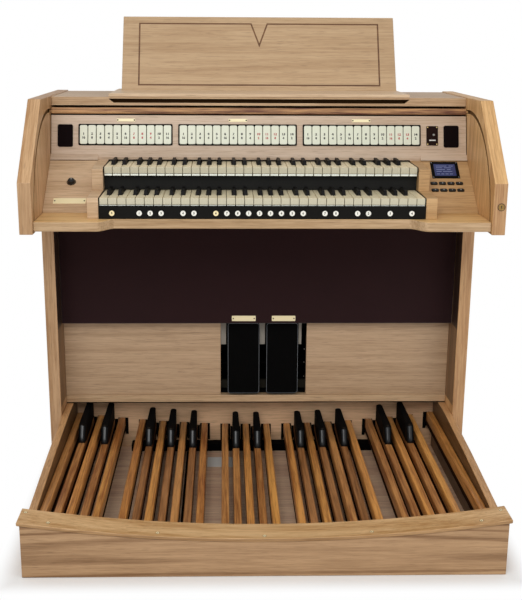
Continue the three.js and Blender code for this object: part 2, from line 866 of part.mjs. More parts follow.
function makeControls() {
  const shaftBore = rodY(knobShaft + knobShaftClear, knobX, -cutOver, panelThick + cutOver, knobUp, roundSides);
  makeKeyBlock("key_block_left", -1, [fromControlPlane(shaftBore)]);
  const buttonHoles = buttonPlaces.map(([x, up]) =>
    fromControlPlane(buttonBox(x, up, buttonClear, -cutOver, panelThick + cutOver)),
  );
  makeKeyBlock("key_block_right", 1, buttonHoles);

  const knob = rodY(knobRadius, knobX, -knobHigh, -seatGap, knobUp, knobSides);
  const shaft = rodY(knobShaft, knobX, -cutOver, panelThick + cutOver, knobUp, roundSides);
  addMesh("power_knob", knob.add(shaft), blackPlastic, controlPlane);

  const plateY = panelThick + buttonTravelRoom;
  const buttons = buttonPlaces.map(([x, up]) => buttonBox(x, up, 0, -buttonProud, plateY + buttonPlate));
  const lastX = buttonFirstX + (buttonColumns - 1) * buttonPitch;
  const halfWide = buttonWide / 2 + buttonPlateMargin;
  const halfHigh = buttonHigh / 2 + buttonPlateMargin;
  const plate = box(
    buttonFirstX - halfWide,
    lastX + halfWide,
    plateY,
    plateY + buttonPlate,
    buttonRows[0] - halfHigh,
    buttonRows[1] + halfHigh,
  );
  addMesh("menu_buttons", joined([plate, ...buttons]), blackPlastic, controlPlane);
}

// Stop panel and the three groups of rocker tabs in its windows
function makeStops() {
  const plane = new THREE.Group();
  plane.position.set(0, stopFootY, stopFootZ);
  plane.rotation.x = -radians(stopLean);
  organ.add(plane);
  const panel = box(-fitX, fitX, 0, stopThick, 0, stopHeight);
  const windows = [];
  const tabs = [];
  tabCounts.forEach((count, group) => {
    const start = tabGroupStarts[group];
    windows.push(
      box(
        start - tabSideClear,
        start + count * tabPitch + tabSideClear,
        -cutOver,
        stopThick + cutOver,
        tabCentre - tabHeight / 2 - tabClear,
        tabCentre + tabHeight / 2 + tabClear,
      ),
    );
    for (let i = 0; i < count; i++) {
      const left = start + i * tabPitch + tabGap / 2;
      tabs.push(
        box(
          left,
          left + tabPitch - tabGap,
          -tabProud,
          tabTail,
          tabCentre - tabHeight / 2,
          tabCentre + tabHeight / 2,
        ),
      );
    }
  });
  const lastGroup = tabCounts.length - 1;
  const bar = box(
    tabGroupStarts[0] + tabGap,
    tabGroupStarts[lastGroup] + tabCounts[lastGroup] * tabPitch - tabGap,
    tabTail - tabGap,
    tabTail + tabBarThick,
    tabCentre - tabBarHigh / 2,
    tabCentre + tabBarHigh / 2,
  );
  addMesh("stop_panel", cutFrom(panel, windows), oak, plane);
  addMesh("stop_tabs", joined([bar, ...tabs]), tabCream, plane);
}

const shoePivotY = kneeY + shoePivotBack;

// One swell shoe: a sole with rounded ends, a web behind it and the hub on the hinge rod
function makeShoe(name, centreX) {
  const footY = kneeY - shoeFootLead;
  const topY = kneeY + shoeTopBack;
  const backTopY = topY + shoeThick;
  const backFootY = footY + shoeThick;
  const outline = [
    [footY + shoeEdgeRadius, shoeBottomZ],
    [footY, shoeBottomZ + shoeEdgeRadius],
    [topY, shoeTopZ - shoeEdgeRadius],
    [topY + shoeEdgeRadius, shoeTopZ],
    [backTopY, shoeTopZ],
    [backTopY, shoePivotZ + shoeWeb],
    [shoePivotY, shoePivotZ + shoeHub],
    [shoePivotY + shoeHub, shoePivotZ],
    [shoePivotY, shoePivotZ - shoeHub],
    [backFootY, shoePivotZ - shoeWeb],
    [backFootY, shoeBottomZ],
  ];
  const half = shoeWide / 2;
  const body = extrudeX(outline, centreX - half, centreX + half);
  const bore = rodX(
    shoeBore,
    centreX - half - cutOver,
    centreX + half + cutOver,
    shoePivotY,
    shoePivotZ,
    roundSides,
  );
  addMesh(name, body.subtract(bore), rubberBlack);
}

// Box behind the knee board that holds both shoes on one rod
function makeSwellBox() {
  const outLeft = shoeHoleLeft - boxSpare - boxWall;
  const outRight = shoeHoleRight + boxSpare + boxWall;
  const boxFrontY = kneeBackY + seatGap;
  const boxBackY = boxFrontY + boxDepth;
  const boxTopZ = shoeHoleTop + boxTopSpare + boxWall;
  const shell = box(outLeft, outRight, boxFrontY, boxBackY, boxFloorZ, boxTopZ);
  const room = box(
    outLeft + boxWall,
    outRight - boxWall,
    boxFrontY - cutOver,
    boxBackY - boxWall,
    boxFloorZ + boxWall,
    boxTopZ - boxWall,
  );
  const rod = rodX(
    shoeRodRadius,
    outLeft + boxWall / 2,
    outRight - boxWall / 2,
    shoePivotY,
    shoePivotZ,
    roundSides,
  );
  addMesh("swell_box", shell.subtract(room).add(rod), rubberBlack);
}

// Height that the pedalboard gains away from its middle
function pedalRise(x) {
  return pedalSag * (x / outerPedalX) ** 2;
}

// A curve across the pedalboard, as points in X and Z
function arch(half, middleZ) {
  const points = [];
  for (let i = 0; i <= archSteps; i++) {
    const x = -half + (2 * half * i) / archSteps;
    points.push([x, middleZ + pedalRise(x)]);
  }
  return points;
}

// All pedals in order, each with its place across the board
function pedalPlaces() {
  const places = [];
  for (let i = 0; i < pedalNaturals; i++) {
    const step = i % octaveNaturals;
    const x = -outerPedalX + i * pedalPitch;
    places.push({ note: noteNames[step], x, sharp: false });
    if (i < pedalNaturals - 1 && sharpsAfterPedal[step]) {
      places.push({ note: noteNames[step] + "s", x: x + pedalPitch / 2, sharp: true });
    }
  }
  return places;
}

// Pedal frame: cheeks, heel board, base and the stepped rest under the hinges, in one glued piece
function makePedalFrame() {
  const boardY = frontY + heelBoardBack;
  const board = extrudeY(
    [[-heelBoardHalf, 0], ...arch(heelBoardHalf, heelRailUnderZ - archGap), [heelBoardHalf, 0]],
    boardY,
    boardY + heelBoardThick,
  );
  const cheekLowZ = heelRailUnderZ + pedalRise(cheekInX) - cheekUnderRail;
  const cheekEndY = toeY + toeBoardThick + toeTail;
  const railClearY = heelRailBackY + seatGap;
  const cheekOutline = [
    [boardY + heelBoardThick / 2, 0],
    [boardY + heelBoardThick / 2, cheekLowZ],
    [railClearY, cheekLowZ],
    [railClearY, cheekFrontZ],
    [cheekMidY, cheekMidZ],
    [legFrontY, cheekRearZ],
    [cheekEndY, cheekRearZ],
    [cheekEndY, 0],
  ];
  const cheeks = [-1, 1].map((sign) =>
    sign > 0 ? extrudeX(cheekOutline, cheekInX, cheekOutX) : extrudeX(cheekOutline, -cheekOutX, -cheekInX),
  );
  const overlapX = cheekInX + cheekThick / 2;
  const base = box(-overlapX, overlapX, boardY + heelBoardThick / 2, cheekEndY, 0, baseThick);
  const stepHalf = pedalWide / 2 + restMargin;
  const restTop = pedalPlaces().flatMap((place) => {
    const z = pedalUnderZ + pedalRise(place.x) - hingeGap;
    return [
      [place.x - stepHalf, z],
      [place.x + stepHalf, z],
    ];
  });
  const restEndX = restTop[restTop.length - 1][0];
  const rest = extrudeY(
    [[-restEndX, 0], ...restTop, [restEndX, 0]],
    hingeY - hingeRestHalf,
    hingeY + hingeRestHalf,
  );
  addMesh("pedal_frame", joined([board, ...cheeks, base, rest]), oak);
}

// Heel rail: a curved board over the heels, screwed to the heel board
function makeHeelRail() {
  const under = arch(heelRailHalf, heelRailUnderZ);
  const over = under.map(([x, z]) => [x, z + heelRailThick]).reverse();
  addMesh("heel_rail", extrudeY([...under, ...over], frontY, heelRailBackY), oak);
}

// Side view of a pedal: level top, rounded toe and a lower tongue through the toe board
function pedalBeam(top) {
  const toeEndY = toeY - pedalToeGap;
  const tongueZ = top - tongueDrop;
  const outline = [
    [frontY + pedalHeelIn, pedalUnderZ],
    [frontY + pedalHeelIn, top],
    [toeEndY - toeRound, top],
    [toeEndY, top - toeRound],
    [toeEndY, tongueZ],
    [toeY + toeBoardThick + tonguePast, tongueZ],
    [toeY + toeBoardThick + tonguePast, pedalUnderZ],
  ];
  return extrudeX(outline, -pedalWide / 2, pedalWide / 2);
}

// Cap of a sharp pedal: sloping front, level top
function sharpCap() {
  const low = pedalTopZ - sharpPedalDrop;
  const startY = toeY - capStart;
  const endY = toeY - pedalToeGap;
  const outline = [
    [startY, low],
    [startY + capSlopeRun, pedalTopZ + capRise],
    [endY, pedalTopZ + capRise],
    [endY, low],
  ];
  return extrudeX(outline, -capWide / 2, capWide / 2);
}

function makePedals() {
  const natural = pedalBeam(pedalTopZ);
  const sharp = pedalBeam(pedalTopZ - sharpPedalDrop).add(sharpCap());
  pedalPlaces().forEach((place, index) => {
    const number = String(index + 1).padStart(2, "0");
    const mesh = addMesh(`pedal_${number}_${place.note}`, place.sharp ? sharp : natural, pedalOak);
    mesh.position.set(place.x, 0, pedalRise(place.x));
  });
}

// Toe board across the back of the pedalboard, slotted for the pedals' tongues
function makeToeBoard() {
  const halfX = cheekInX - seatGap;
  const board = box(-halfX, halfX, toeY, toeY + toeBoardThick, baseThick + seatGap, cheekRearZ);
  const slots = pedalPlaces().map((place) => {
    const top = (place.sharp ? pedalTopZ - sharpPedalDrop : pedalTopZ) - tongueDrop + toeSlotOver;
    const low = pedalUnderZ - pedalDip - toeSlotUnder;
    const half = pedalWide / 2 + toeSlotClear;
    const rise = pedalRise(place.x);
    return box(
      place.x - half,
      place.x + half,
      toeY - cutOver,
      toeY + toeBoardThick + cutOver,
      low + rise,
      top + rise,
    );
  });
  addMesh("toe_board", cutFrom(board, slots), oak);
}

makeSide("side_left", -1);
makeSide("side_right", 1);
makeTopBoard();
makeBackPanel();
makeCaseFront();
makeKeyTable();
makeStops();
makeControls();
makeManualFrame();
makeManuals();
makePistons();
makeMusicDesk();
makeRollTop();
makeSwellBox();
makeShoe("swell_shoe_left", shoeCentres[0]);
makeShoe("swell_shoe_right", shoeCentres[1]);
makeLoudspeaker();
makeElectronics();
makePedalFrame();
makeHeelRail();
makeToeBoard();
makePedals();

export default organ;
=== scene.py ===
import math

import bmesh
import bpy
from mathutils import Matrix, Vector


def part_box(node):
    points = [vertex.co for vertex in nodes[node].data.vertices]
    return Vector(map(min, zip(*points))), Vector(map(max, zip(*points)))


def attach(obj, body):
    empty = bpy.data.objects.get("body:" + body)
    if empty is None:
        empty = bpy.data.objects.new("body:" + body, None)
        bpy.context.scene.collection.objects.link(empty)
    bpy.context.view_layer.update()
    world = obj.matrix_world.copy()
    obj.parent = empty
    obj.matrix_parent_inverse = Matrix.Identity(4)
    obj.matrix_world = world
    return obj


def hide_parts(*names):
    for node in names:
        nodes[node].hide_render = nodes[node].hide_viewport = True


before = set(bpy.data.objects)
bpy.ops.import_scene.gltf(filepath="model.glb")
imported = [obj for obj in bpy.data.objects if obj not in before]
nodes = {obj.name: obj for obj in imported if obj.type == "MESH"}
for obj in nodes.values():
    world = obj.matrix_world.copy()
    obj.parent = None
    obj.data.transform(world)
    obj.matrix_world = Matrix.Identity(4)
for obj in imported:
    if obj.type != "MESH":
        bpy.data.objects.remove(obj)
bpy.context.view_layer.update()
mm = 0.001
print("frame loaded:", len(nodes), "nodes")


# node wiring: sums on a socket write their own Math nodes
class Wire:
    def __init__(self, tree, socket):
        self.tree = tree
        self.socket = socket

    def maths(self, operation, first, second):
        node = self.tree.nodes.new("ShaderNodeMath")
        node.operation = operation
        connect(self.tree, node.inputs[0], first)
        connect(self.tree, node.inputs[1], second)
        return Wire(self.tree, node.outputs[0])

    def __add__(self, other):
        return self.maths("ADD", self, other)

    def __sub__(self, other):
        return self.maths("SUBTRACT", self, other)

    def __rsub__(self, other):
        return self.maths("SUBTRACT", other, self)

    def __mul__(self, other):
        return self.maths("MULTIPLY", self, other)

    def of(self, operation):
        return self.maths(operation, self, 0)

    def most(self, other):
        return self.maths("MAXIMUM", self, other)

    __radd__ = __add__
    __rmul__ = __mul__


def connect(tree, place, value):
    if isinstance(value, Wire):
        tree.links.new(value.socket, place)
    else:
        place.default_value = value


def tint(code):
    # a written colour such as c9a57e, as the shader's linear numbers
    parts = [int(code[n:n + 2], 16) / 255 for n in (0, 2, 4)]
    return (*[c / 12.92 if c <= 0.04045 else ((c + 0.055) / 1.055) ** 2.4 for c in parts], 1.0)


class Nodes:
    # the nodes of one tree, each wired to its inputs as it is made
    def __init__(self, tree, family):
        self.tree, self.family = tree, family

    def node(self, kind, settings=None, inputs=None, out=0):
        node = self.tree.nodes.new(kind if "Node" in kind else self.family + kind)
        for key, value in (settings or {}).items():
            setattr(node, key, value)
        for key, value in (inputs or {}).items():
            connect(self.tree, node.inputs[key], value)
        return Wire(self.tree, node.outputs[out])


class Finish(Nodes):
    def __init__(self, name, colour, roughness, fixed=None):
        self.material = bpy.data.materials.new(name)
        self.material.use_nodes = True
        super().__init__(self.material.node_tree, "ShaderNode")
        self.shader = self.tree.nodes["Principled BSDF"]
        for socket, value in {"Base Color": tint(colour), "Roughness": roughness, **(fixed or {})}.items():
            self.shader.inputs[socket].default_value = value

    def place(self, stretch=(1, 1, 1), shift=(0, 0, 0), turn=0.0):
        # object coordinates, turned about x first and stretched after that
        spot = self.node("TexCoord", out=3)
        if turn:
            spot = self.node("Mapping", inputs={"Vector": spot, "Rotation": (math.radians(turn), 0, 0)})
        return self.node("Mapping", inputs={"Vector": spot, "Location": shift, "Scale": stretch})

    def noise(self, place, scale, detail=2.0, rough=0.5, warp=0.0):
        return self.node("TexNoise", inputs={
            "Vector": place, "Scale": scale, "Detail": detail, "Roughness": rough, "Distortion": warp})

    def band(self, value, low, high):
        # 0 below low, 1 above high
        return self.node("MapRange", {"interpolation_type": "SMOOTHSTEP"},
                         {"Value": value, "From Min": low, "From Max": high})

    def mix(self, factor, first, second, blend="MIX"):
        return self.node("Mix", {"data_type": "RGBA", "blend_type": blend},
                         {0: factor, 6: first, 7: second}, out=2)

    def paint(self, **sockets):
        for key, value in sockets.items():
            connect(self.tree, self.shader.inputs[key.replace("_", " ")], value)

    def relief(self, height, strength, depth):
        bump = self.node("Bump", inputs={"Height": height, "Strength": strength, "Distance": depth * mm})
        self.paint(Normal=bump)


# finishes: sizes of the grain, how far it runs along the board, depth of the pores and the coat
oakLook = {
    "lineScale": 230.0, "figureScale": 26.0, "poreScale": 620.0, "cloudScale": 4.5, "archScale": 9.0,
    "archLines": 90.0, "alongGrain": 0.035, "poreDark": 0.30, "poreTone": "5f4326", "lacquer": 0.12,
    "meanDepth": 0.45,
}


def widened(light, dark, middle, spread):
    # the two tones drawn apart about the tone that the grain has on average
    pale, deep = tint(light), tint(dark)
    mean = [a + (b - a) * middle for a, b in zip(pale, deep)]
    return [tuple(min(1.0, max(0.0, m + (c - m) * spread)) for c, m in zip(tone, mean))
            for tone in (pale, deep)]


def oak(name, along, light, dark, seed=0.0, gloss=0.44, contrast=1.0, turn=0.0, arches=0.0, spread=1.3):
    wood = Finish(name, light, gloss, {
        "Coat Weight": oakLook["lacquer"], "Coat Roughness": 0.28, "Specular IOR Level": 0.42})
    stretch = [1.0, 1.0, 1.0]
    stretch["XYZ".index(along)] = oakLook["alongGrain"]
    long = wood.place(stretch, (seed * 0.731, seed * 0.417, seed * 0.293), turn)
    figure = wood.noise(long, oakLook["figureScale"], 3.0, 0.55, 0.6)
    lines = wood.noise(long, oakLook["lineScale"], 5.0, 0.66, 0.25)
    pores = wood.band(wood.noise(long, oakLook["poreScale"], 2.0, 0.5), 0.57, 0.70)
    cloud = wood.noise(wood.place((1, 1, 1), (seed, 0, seed * 0.5)), oakLook["cloudScale"])
    depth = wood.band(figure * 0.55 + lines * 0.75 - cloud * 0.18, 0.36, 0.80) * contrast
    if arches:
        # contour lines of a slow noise draw the arches of a plain-sawn board
        slow = wood.noise(long, oakLook["archScale"], 1.0, 0.4, 0.3) * oakLook["archLines"]
        depth = depth * 0.8 + wood.band(slow.of("SINE"), 0.0, 1.0) * arches
    middle = oakLook["meanDepth"] * contrast * (0.8 if arches else 1.0) + arches * 0.5
    pale, deep = widened(light, dark, middle, spread)
    body = wood.mix(depth, pale, deep)
    grained = wood.mix(pores * oakLook["poreDark"], body, tint(oakLook["poreTone"]), "MULTIPLY")
    wood.paint(Base_Color=grained, Roughness=gloss + pores * 0.16 + (lines - 0.5) * 0.12)
    wood.relief(1.0 - pores - lines * 0.35, 0.22, 0.35)
    return wood.material


def plainCoat(name, colour, roughness, grainScale=900.0, strength=0.1, depth=0.1, spread=0.08, fixed=None):
    # a moulded or painted surface: faint orange peel and a little change in gloss
    coat = Finish(name, colour, roughness, fixed)
    place = coat.place()
    grain = coat.noise(place, grainScale, 3.0, 0.6)
    wide = coat.noise(place, 22.0, 2.0)
    shade = coat.mix(wide * 0.22, tint(colour), tint("808080"), "SOFT_LIGHT")
    coat.paint(Base_Color=shade, Roughness=roughness + (wide - 0.5) * spread * 2 + (grain - 0.5) * spread)
    coat.relief(grain, strength, depth)
    return coat.material


def weave(name, ground, thread, pitch, relief):
    cloth = Finish(name, ground, 0.95, {
        "Sheen Weight": 0.25, "Sheen Roughness": 0.5, "Specular IOR Level": 0.15})
    turn = 2 * math.pi / (pitch * mm)
    place = cloth.place()
    axes = [cloth.node("SeparateXYZ", inputs={"Vector": place}, out=n) for n in (0, 2)]
    across, upward = [(axis * turn).of("SINE") for axis in axes]
    cross = across * upward
    fluff = cloth.noise(place, 1400.0, 3.0, 0.7)
    patch = cloth.noise(place, 9.0, 2.0)
    lit = cloth.band(cross + fluff * 0.9 + patch * 0.3, 0.2, 1.5)
    cloth.paint(Base_Color=cloth.mix(lit, tint(ground), tint(thread)), Roughness=0.90 + fluff * 0.1)
    cloth.relief(cross * 0.5 + fluff * 0.4, relief, 0.35)
    return cloth.material


def metal(name, colour, roughness, brush="X"):
    plate = Finish(name, colour, roughness, {"Metallic": 1.0})
    stretch = [1.0, 1.0, 1.0]
    stretch["XYZ".index(brush)] = 0.03
    scratch = plate.noise(plate.place(stretch), 1800.0, 3.0, 0.6)
    smudge = plate.noise(plate.place(), 60.0, 2.0)
    cast = tint("8c7a55" if brush == "X" else "6f7072")
    plate.paint(Base_Color=plate.mix(smudge * 0.25, tint(colour), cast, "MULTIPLY"),
                Roughness=roughness + (scratch - 0.5) * 0.2 + (smudge - 0.5) * 0.15)
    plate.relief(scratch, 0.08, 0.05)
    return plate.material


def polishedCap(name, colour):
    # black plastic that shoes have polished along its middle, by the cap's own "across" value
    coat = Finish(name, colour, 0.45, {"Specular IOR Level": 0.1, "Coat Roughness": 0.12})
    across = coat.node("Attribute", {"attribute_name": "across"}, out=2)
    away = coat.band(across.of("ABSOLUTE"), 0.10, 0.46)
    coat.paint(Coat_Weight=(1.0 - away) * 0.65)
    coat.relief(coat.noise(coat.place(), 700.0, 3.0, 0.6), 0.05, 0.08)
    return coat.material


sideTones = {"Left": ("caa277", "ab8054"), "Right": ("deb27a", "bd8d58")}
frontTones = {"Left": ("be9972", "9f7850"), "Right": ("c9a072", "a97c52")}
oakSides = {side: [oak("oakFace" + side, "Z", *tones, 1.0, spread=1.7),
                   oak("oakSlope" + side, "Z", *tones, 1.4, turn=45.4, spread=1.7),
                   oak("oakTop" + side, "Y", *tones, 1.8)] for side, tones in sideTones.items()}
oakAcross = oak("oakAcross", "X", "cbab86", "ac8a66", 2.0)
oakTable = oak("oakKeyTable", "X", "c6a680", "a5845d", 3.5)
# painted light: a lighter, yellower copy of the key table's oak for its top face
oakTableTop = oak("oakTableTop", "X", "e4ba7e", "c29558", 3.8)
oakPanel = oak("oakStopPanel", "X", "c7af97", "b2977c", 4.0, contrast=0.9, arches=0.12)
oakBlock = oak("oakKeyBlocks", "X", "d3b592", "b6946f", 5.0, contrast=0.8, spread=1.6)
# painted shade: a darker, warmer copy of the key blocks' oak for the right block
oakBlockRightShaded = oak("oakKeyBlockRight", "X", "c8a272", "a77f50", 5.5, contrast=0.8)
oakDesk = oak("oakMusicDesk", "X", "c4a580", "a98762", 6.0, contrast=0.8, arches=0.14)
oakKnee = oak("oakKneeBoard", "X", "c3a483", "a98a69", 7.0, contrast=0.7, arches=0.14, spread=1.9)
oakHeel = oak("oakHeelBoard", "X", "b08b64", "886440", 8.0, contrast=0.7, arches=0.55, spread=1.5)
oakRail = oak("oakHeelRail", "X", "d8b07e", "b98c58", 8.6, spread=1.6)
# painted shade: a darker copy of the heel rail's oak for its front face
oakRailFront = oak("oakRailFront", "X", "b28a5c", "8f693e", 8.8)
oakToe = oak("oakToeBoard", "X", "ebc29a", "c9a17a", 7.6, contrast=0.8)
oakPlate = oak("oakDeskPlate", "X", "e0c4a2", "c6a684", 6.4, contrast=0.7)
oakBack = oak("oakBackPanel", "Z", "c4a07a", "a4805b", 9.0)
oakCheek = oak("oakCheeks", "Y", "c99a69", "a5794b", 10.0)
pedalTones = [oak(name, "Y", light, dark, seed, gloss, spread=wide) for name, light, dark, seed, gloss, wide in (
    ("pedalOak", "cc8d49", "9c612d", 11.0, 0.38, 1.9), ("pedalOakWarm", "d0934b", "a26830", 16.0, 0.38, 1.9),
    ("pedalOakBrown", "bf864c", "925c2e", 17.0, 0.38, 1.8), ("pedalOakDark", "a97445", "7f5129", 12.5, 0.40, 1.7))]
baseWood = oak("pedalBase", "X", "fdd8b6", "e2b698", 13.0, gloss=0.6)
rollWood = oak("rollTopOak", "X", "b98a58", "94683c", 14.0, spread=2.2)
leadWood = oak("leadRailOak", "X", "b98a58", "94683c", 14.7, spread=3.2)
oakFronts = {side: oak("oakFront" + side, "Z", *tones, 1.2) for side, tones in frontTones.items()}
# painted shade: tones for thin sheets on the legs' inner faces
legPaintedShade = oak("legLining", "Z", "8c6946", "6c4e32", 1.6)
legPaintedShadow = oak("legLiningDark", "Z", "49352a", "34251d", 1.7)
# painted shade: a darker copy of the cheeks' oak for their inner faces
cheekInnerShade = oak("oakCheekInner", "Y", "70502f", "4c341e", 10.5)
# painted shade: dark brown for the faces of the roll-top groove in the side boards
grooveBrown = plainCoat("grooveBrown", "7c5c38", 0.8, 500.0, fixed={"Specular IOR Level": 0.12})
# painted shade: dark brown for the finger slot's faces and for the shadow under the stop panel's skirt; also the
# dark joint line under each key's face
slotBrown = plainCoat("slotBrown", "40280f", 0.8, 500.0, fixed={"Specular IOR Level": 0.12})
inlayWood = oak("inlayDark", "X", "7a5432", "5d3d24", 15.0, gloss=0.5)
cloth = weave("speakerCloth", "1e0d0f", "33191b", 1.6, 0.5)
ivory = plainCoat("keyIvory", "ebdebb", 0.3, 260.0, 0.03, 0.1, 0.05)
# painted shade: a darker cream for the naturals' front faces
ivoryFrontShade = plainCoat("keyFront", "cac3aa", 0.34, 260.0, 0.03, 0.1, 0.05)
ivoryUnder = plainCoat("keyBody", "f6faf0", 0.45, 400.0, 0.05, 0.1)
ebony = plainCoat("keyBlack", "070505", 0.5, 500.0, 0.05, 0.1, 0.06, {"Specular IOR Level": 0.14})
tabCream = plainCoat("tabCream", "dbddc9", 0.34, 500.0, 0.04, 0.1, 0.05)
pistonCream = plainCoat("pistonCream", "f0eee4", 0.3, 500.0, 0.04, 0.1)
pistonGold = plainCoat("pistonGold", "f8e6b6", 0.3, 500.0, 0.04, 0.1)
dull = {"Specular IOR Level": 0.05}
railBlack = plainCoat("railBlack", "1b1a18", 0.7, 700.0, depth=0.12, fixed=dull)
slipBlack = plainCoat("slipBlack", "262625", 0.7, 700.0, depth=0.12, fixed=dull)
frameBlack = plainCoat("frameBlack", "0d0b0a", 0.5, fixed=dull)
platePlum = plainCoat("plateBrown", "21110d", 0.5, fixed=dull)
rubber = plainCoat("shoeRubber", "060606", 0.75, 1500.0, 0.35, 0.25, fixed=dull)
boxBlack = plainCoat("boxBlack", "060606", 0.85, 600.0, 0.2, 0.2, fixed=dull)
capBlack = polishedCap("pedalCapGloss", "040506")
capMatte = plainCoat("pedalCapMatte", "0a0a0b", 0.75, 1300.0, 0.3, 0.2, fixed=dull)
# painted shade: near-black brown along the bottom of each pedal's sides
pedalSideShade = plainCoat("pedalShade", "2c1b0f", 0.9, 600.0, 0.2, 0.2, fixed=dull)
sillDark = plainCoat("sillDark", "35322a", 0.8, 600.0, 0.2, 0.2, fixed=dull)
# black felt; the same black is also painted shadow in strips under the case floor, on the base, at the stop
# panel's ends and foot, beside the toe-board slots and below the apron
feltBlack = plainCoat("feltBlack", "0c0908", 0.95, 1800.0, 0.5, 0.3, fixed=dull)
# painted highlight: light grey for the shoes' rims
shoeEdge = plainCoat("shoeEdge", "70757a", 0.3)
bracketGrey = plainCoat("bracketGrey", "b5aea2", 0.5, 400.0, 0.06, 0.1)
darkPlate = plainCoat("darkPlate", "100708", 0.7, fixed=dull)
lockDark = plainCoat("lockDark", "5a3f22", 0.5, 700.0)
sheetGrey = plainCoat("sheetGrey", "f6f6f2", 0.5, 260.0, 0.4, 0.4)
knobBlack = plainCoat("knobBlack", "0b0b0a", 0.34, 900.0, 0.08, 0.1)
screenLit = plainCoat("screenLit", "737cab", 0.3, 300.0, 0.0, 0.05, 0.03)
screenBlue = plainCoat("screenBlue", "2e3769", 0.16, 300.0, 0.0, 0.05, 0.03)
steel = metal("steel", "a9a8a4", 0.38, "Z")
brass = metal("brass", "e8cf92", 0.30, "X")
lockBrass = metal("lockBrass", "b08d55", 0.34, "Z")
plateCream = plainCoat("plateBrass", "f6e9bd", 0.36, 700.0, 0.05, 0.1)
markDark = plainCoat("markDark", "24211e", 0.6, 900.0, 0.05, 0.05)
markRed = plainCoat("markRed", "b5524c", 0.6, 900.0, 0.05, 0.05)
markPale = plainCoat("markPale", "d8d8d4", 0.5, 900.0, 0.05, 0.05)
print("finishes ready")


# building blocks, in millimetres
edgeAngles = {"sharp": 25.0, "arris": 28.0, "smooth": 32.0}


def scaled(x, y, z):
    return Vector((x, y, z)) * mm


def between(side, inner, outer):
    # the low and high end of a run on one side of the middle
    return sorted((side * inner, side * outer))


def roundEdges(form, faces, edge, steps):
    if not edge:
        return
    bmesh.ops.recalc_face_normals(form, faces=faces)
    sharp = {e for f in faces for e in f.edges
             if len(e.link_faces) == 2 and e.calc_face_angle(0) > math.radians(edgeAngles["sharp"])}
    bmesh.ops.bevel(form, geom=list(sharp), offset=edge * mm, offset_type="OFFSET", segments=steps,
                    profile=0.5, affect="EDGES", clamp_overlap=True)


def addRings(form, rings, coat=0, edge=0.0, steps=2, closed=False):
    # a skin over rings of points; its ends are shut, or the last ring meets the first
    made = [[form.verts.new(scaled(*point)) for point in ring] for ring in rings]
    faces = [] if closed else [form.faces.new(made[0]), form.faces.new(made[-1])]
    for low, high in zip(made, made[1:] + (made[:1] if closed else [])):
        count = len(low)
        faces += [form.faces.new((low[n], low[(n + 1) % count], high[(n + 1) % count], high[n]))
                  for n in range(count)]
    for face in faces:
        face.material_index = coat
    roundEdges(form, faces, edge, steps)


def addOutline(form, axis, start, end, outline, edge=0.0, steps=2, coat=0):
    # a flat outline given its thickness along one axis
    rings = [[(*point[:axis], at, *point[axis:]) for point in outline] for at in (start, end)]
    addRings(form, rings, coat, edge, steps)


def addBlock(form, low, high, edge=0.0, steps=2, coat=0):
    outline = [(low[1], low[2]), (high[1], low[2]), (high[1], high[2]), (low[1], high[2])]
    addOutline(form, 0, low[0], high[0], outline, edge, steps, coat)


def turned(outline, place, sides):
    # rings of (radius, out) pairs about the frame's outward axis, minus y
    angles = [2 * math.pi * n / sides for n in range(sides)]
    return [[place @ Vector((radius * math.cos(a), -out, radius * math.sin(a))) for a in angles]
            for radius, out in outline]


def addTurned(form, outline, place, sides=24):
    addRings(form, turned(outline, place, sides))


def addHollow(form, loop, place, sides=24, coat=0):
    # a closed loop turned all the way round
    addRings(form, list(zip(*turned(loop, place, sides))), coat, closed=True)


def tilted(x, foot, lean):
    # a frame on a leaning board: x across, z up the slope, minus y outwards
    return Matrix.Translation(Vector((x, *foot))) @ Matrix.Rotation(math.radians(-lean), 4, "X")


def moved(plane, x, up, out=0.0):
    return plane @ Matrix.Translation((x, -out, up))


def inMetres(place):
    # the same place for points that are in metres already
    return Matrix.Scale(mm, 4) @ place @ Matrix.Scale(1 / mm, 4)


def roundedBox(width, height, radius, steps=4):
    # outline of a plate with round corners about its middle
    made = []
    for cornerX, cornerZ, first in ((1, 1, 0), (-1, 1, 90), (-1, -1, 180), (1, -1, 270)):
        for n in range(steps + 1):
            a = math.radians(first + 90 * n / steps)
            made.append((cornerX * (width / 2 - radius) + radius * math.cos(a),
                         cornerZ * (height / 2 - radius) + radius * math.sin(a)))
    return made


def layered(place, layers):
    return [[place @ Vector((x, -out, z)) for x, z in outline] for outline, out in layers]


def addPlate(form, place, width, height, thick, radius, rise=0.0, edge=0.4, coat=0):
    # a plate lying on the frame's plane, its middle at the frame's origin
    outline = roundedBox(width, height, radius)
    inner = roundedBox(width - 2 * edge, height - 2 * edge, max(radius - edge, 0.05))
    top = rise + thick
    addRings(form, layered(place, ((outline, rise), (outline, top - edge), (inner, top))), coat)


def addRim(form, place, width, height, outer, inner, bar, thick, rise=0.0):
    # a frame with an opening: outer and inner are its corner radii
    big, small = roundedBox(width, height, outer), roundedBox(width - 2 * bar, height - 2 * bar, inner)
    top = rise + thick
    addRings(form, layered(place, ((small, rise), (big, rise), (big, top), (small, top))), closed=True)


def placed(name, data):
    made = bpy.data.objects.new(name, data)
    bpy.context.scene.collection.objects.link(made)
    return made


def asMesh(name, form):
    bmesh.ops.recalc_face_normals(form, faces=form.faces)
    mesh = bpy.data.meshes.new(name)
    form.to_mesh(mesh)
    form.free()
    return mesh


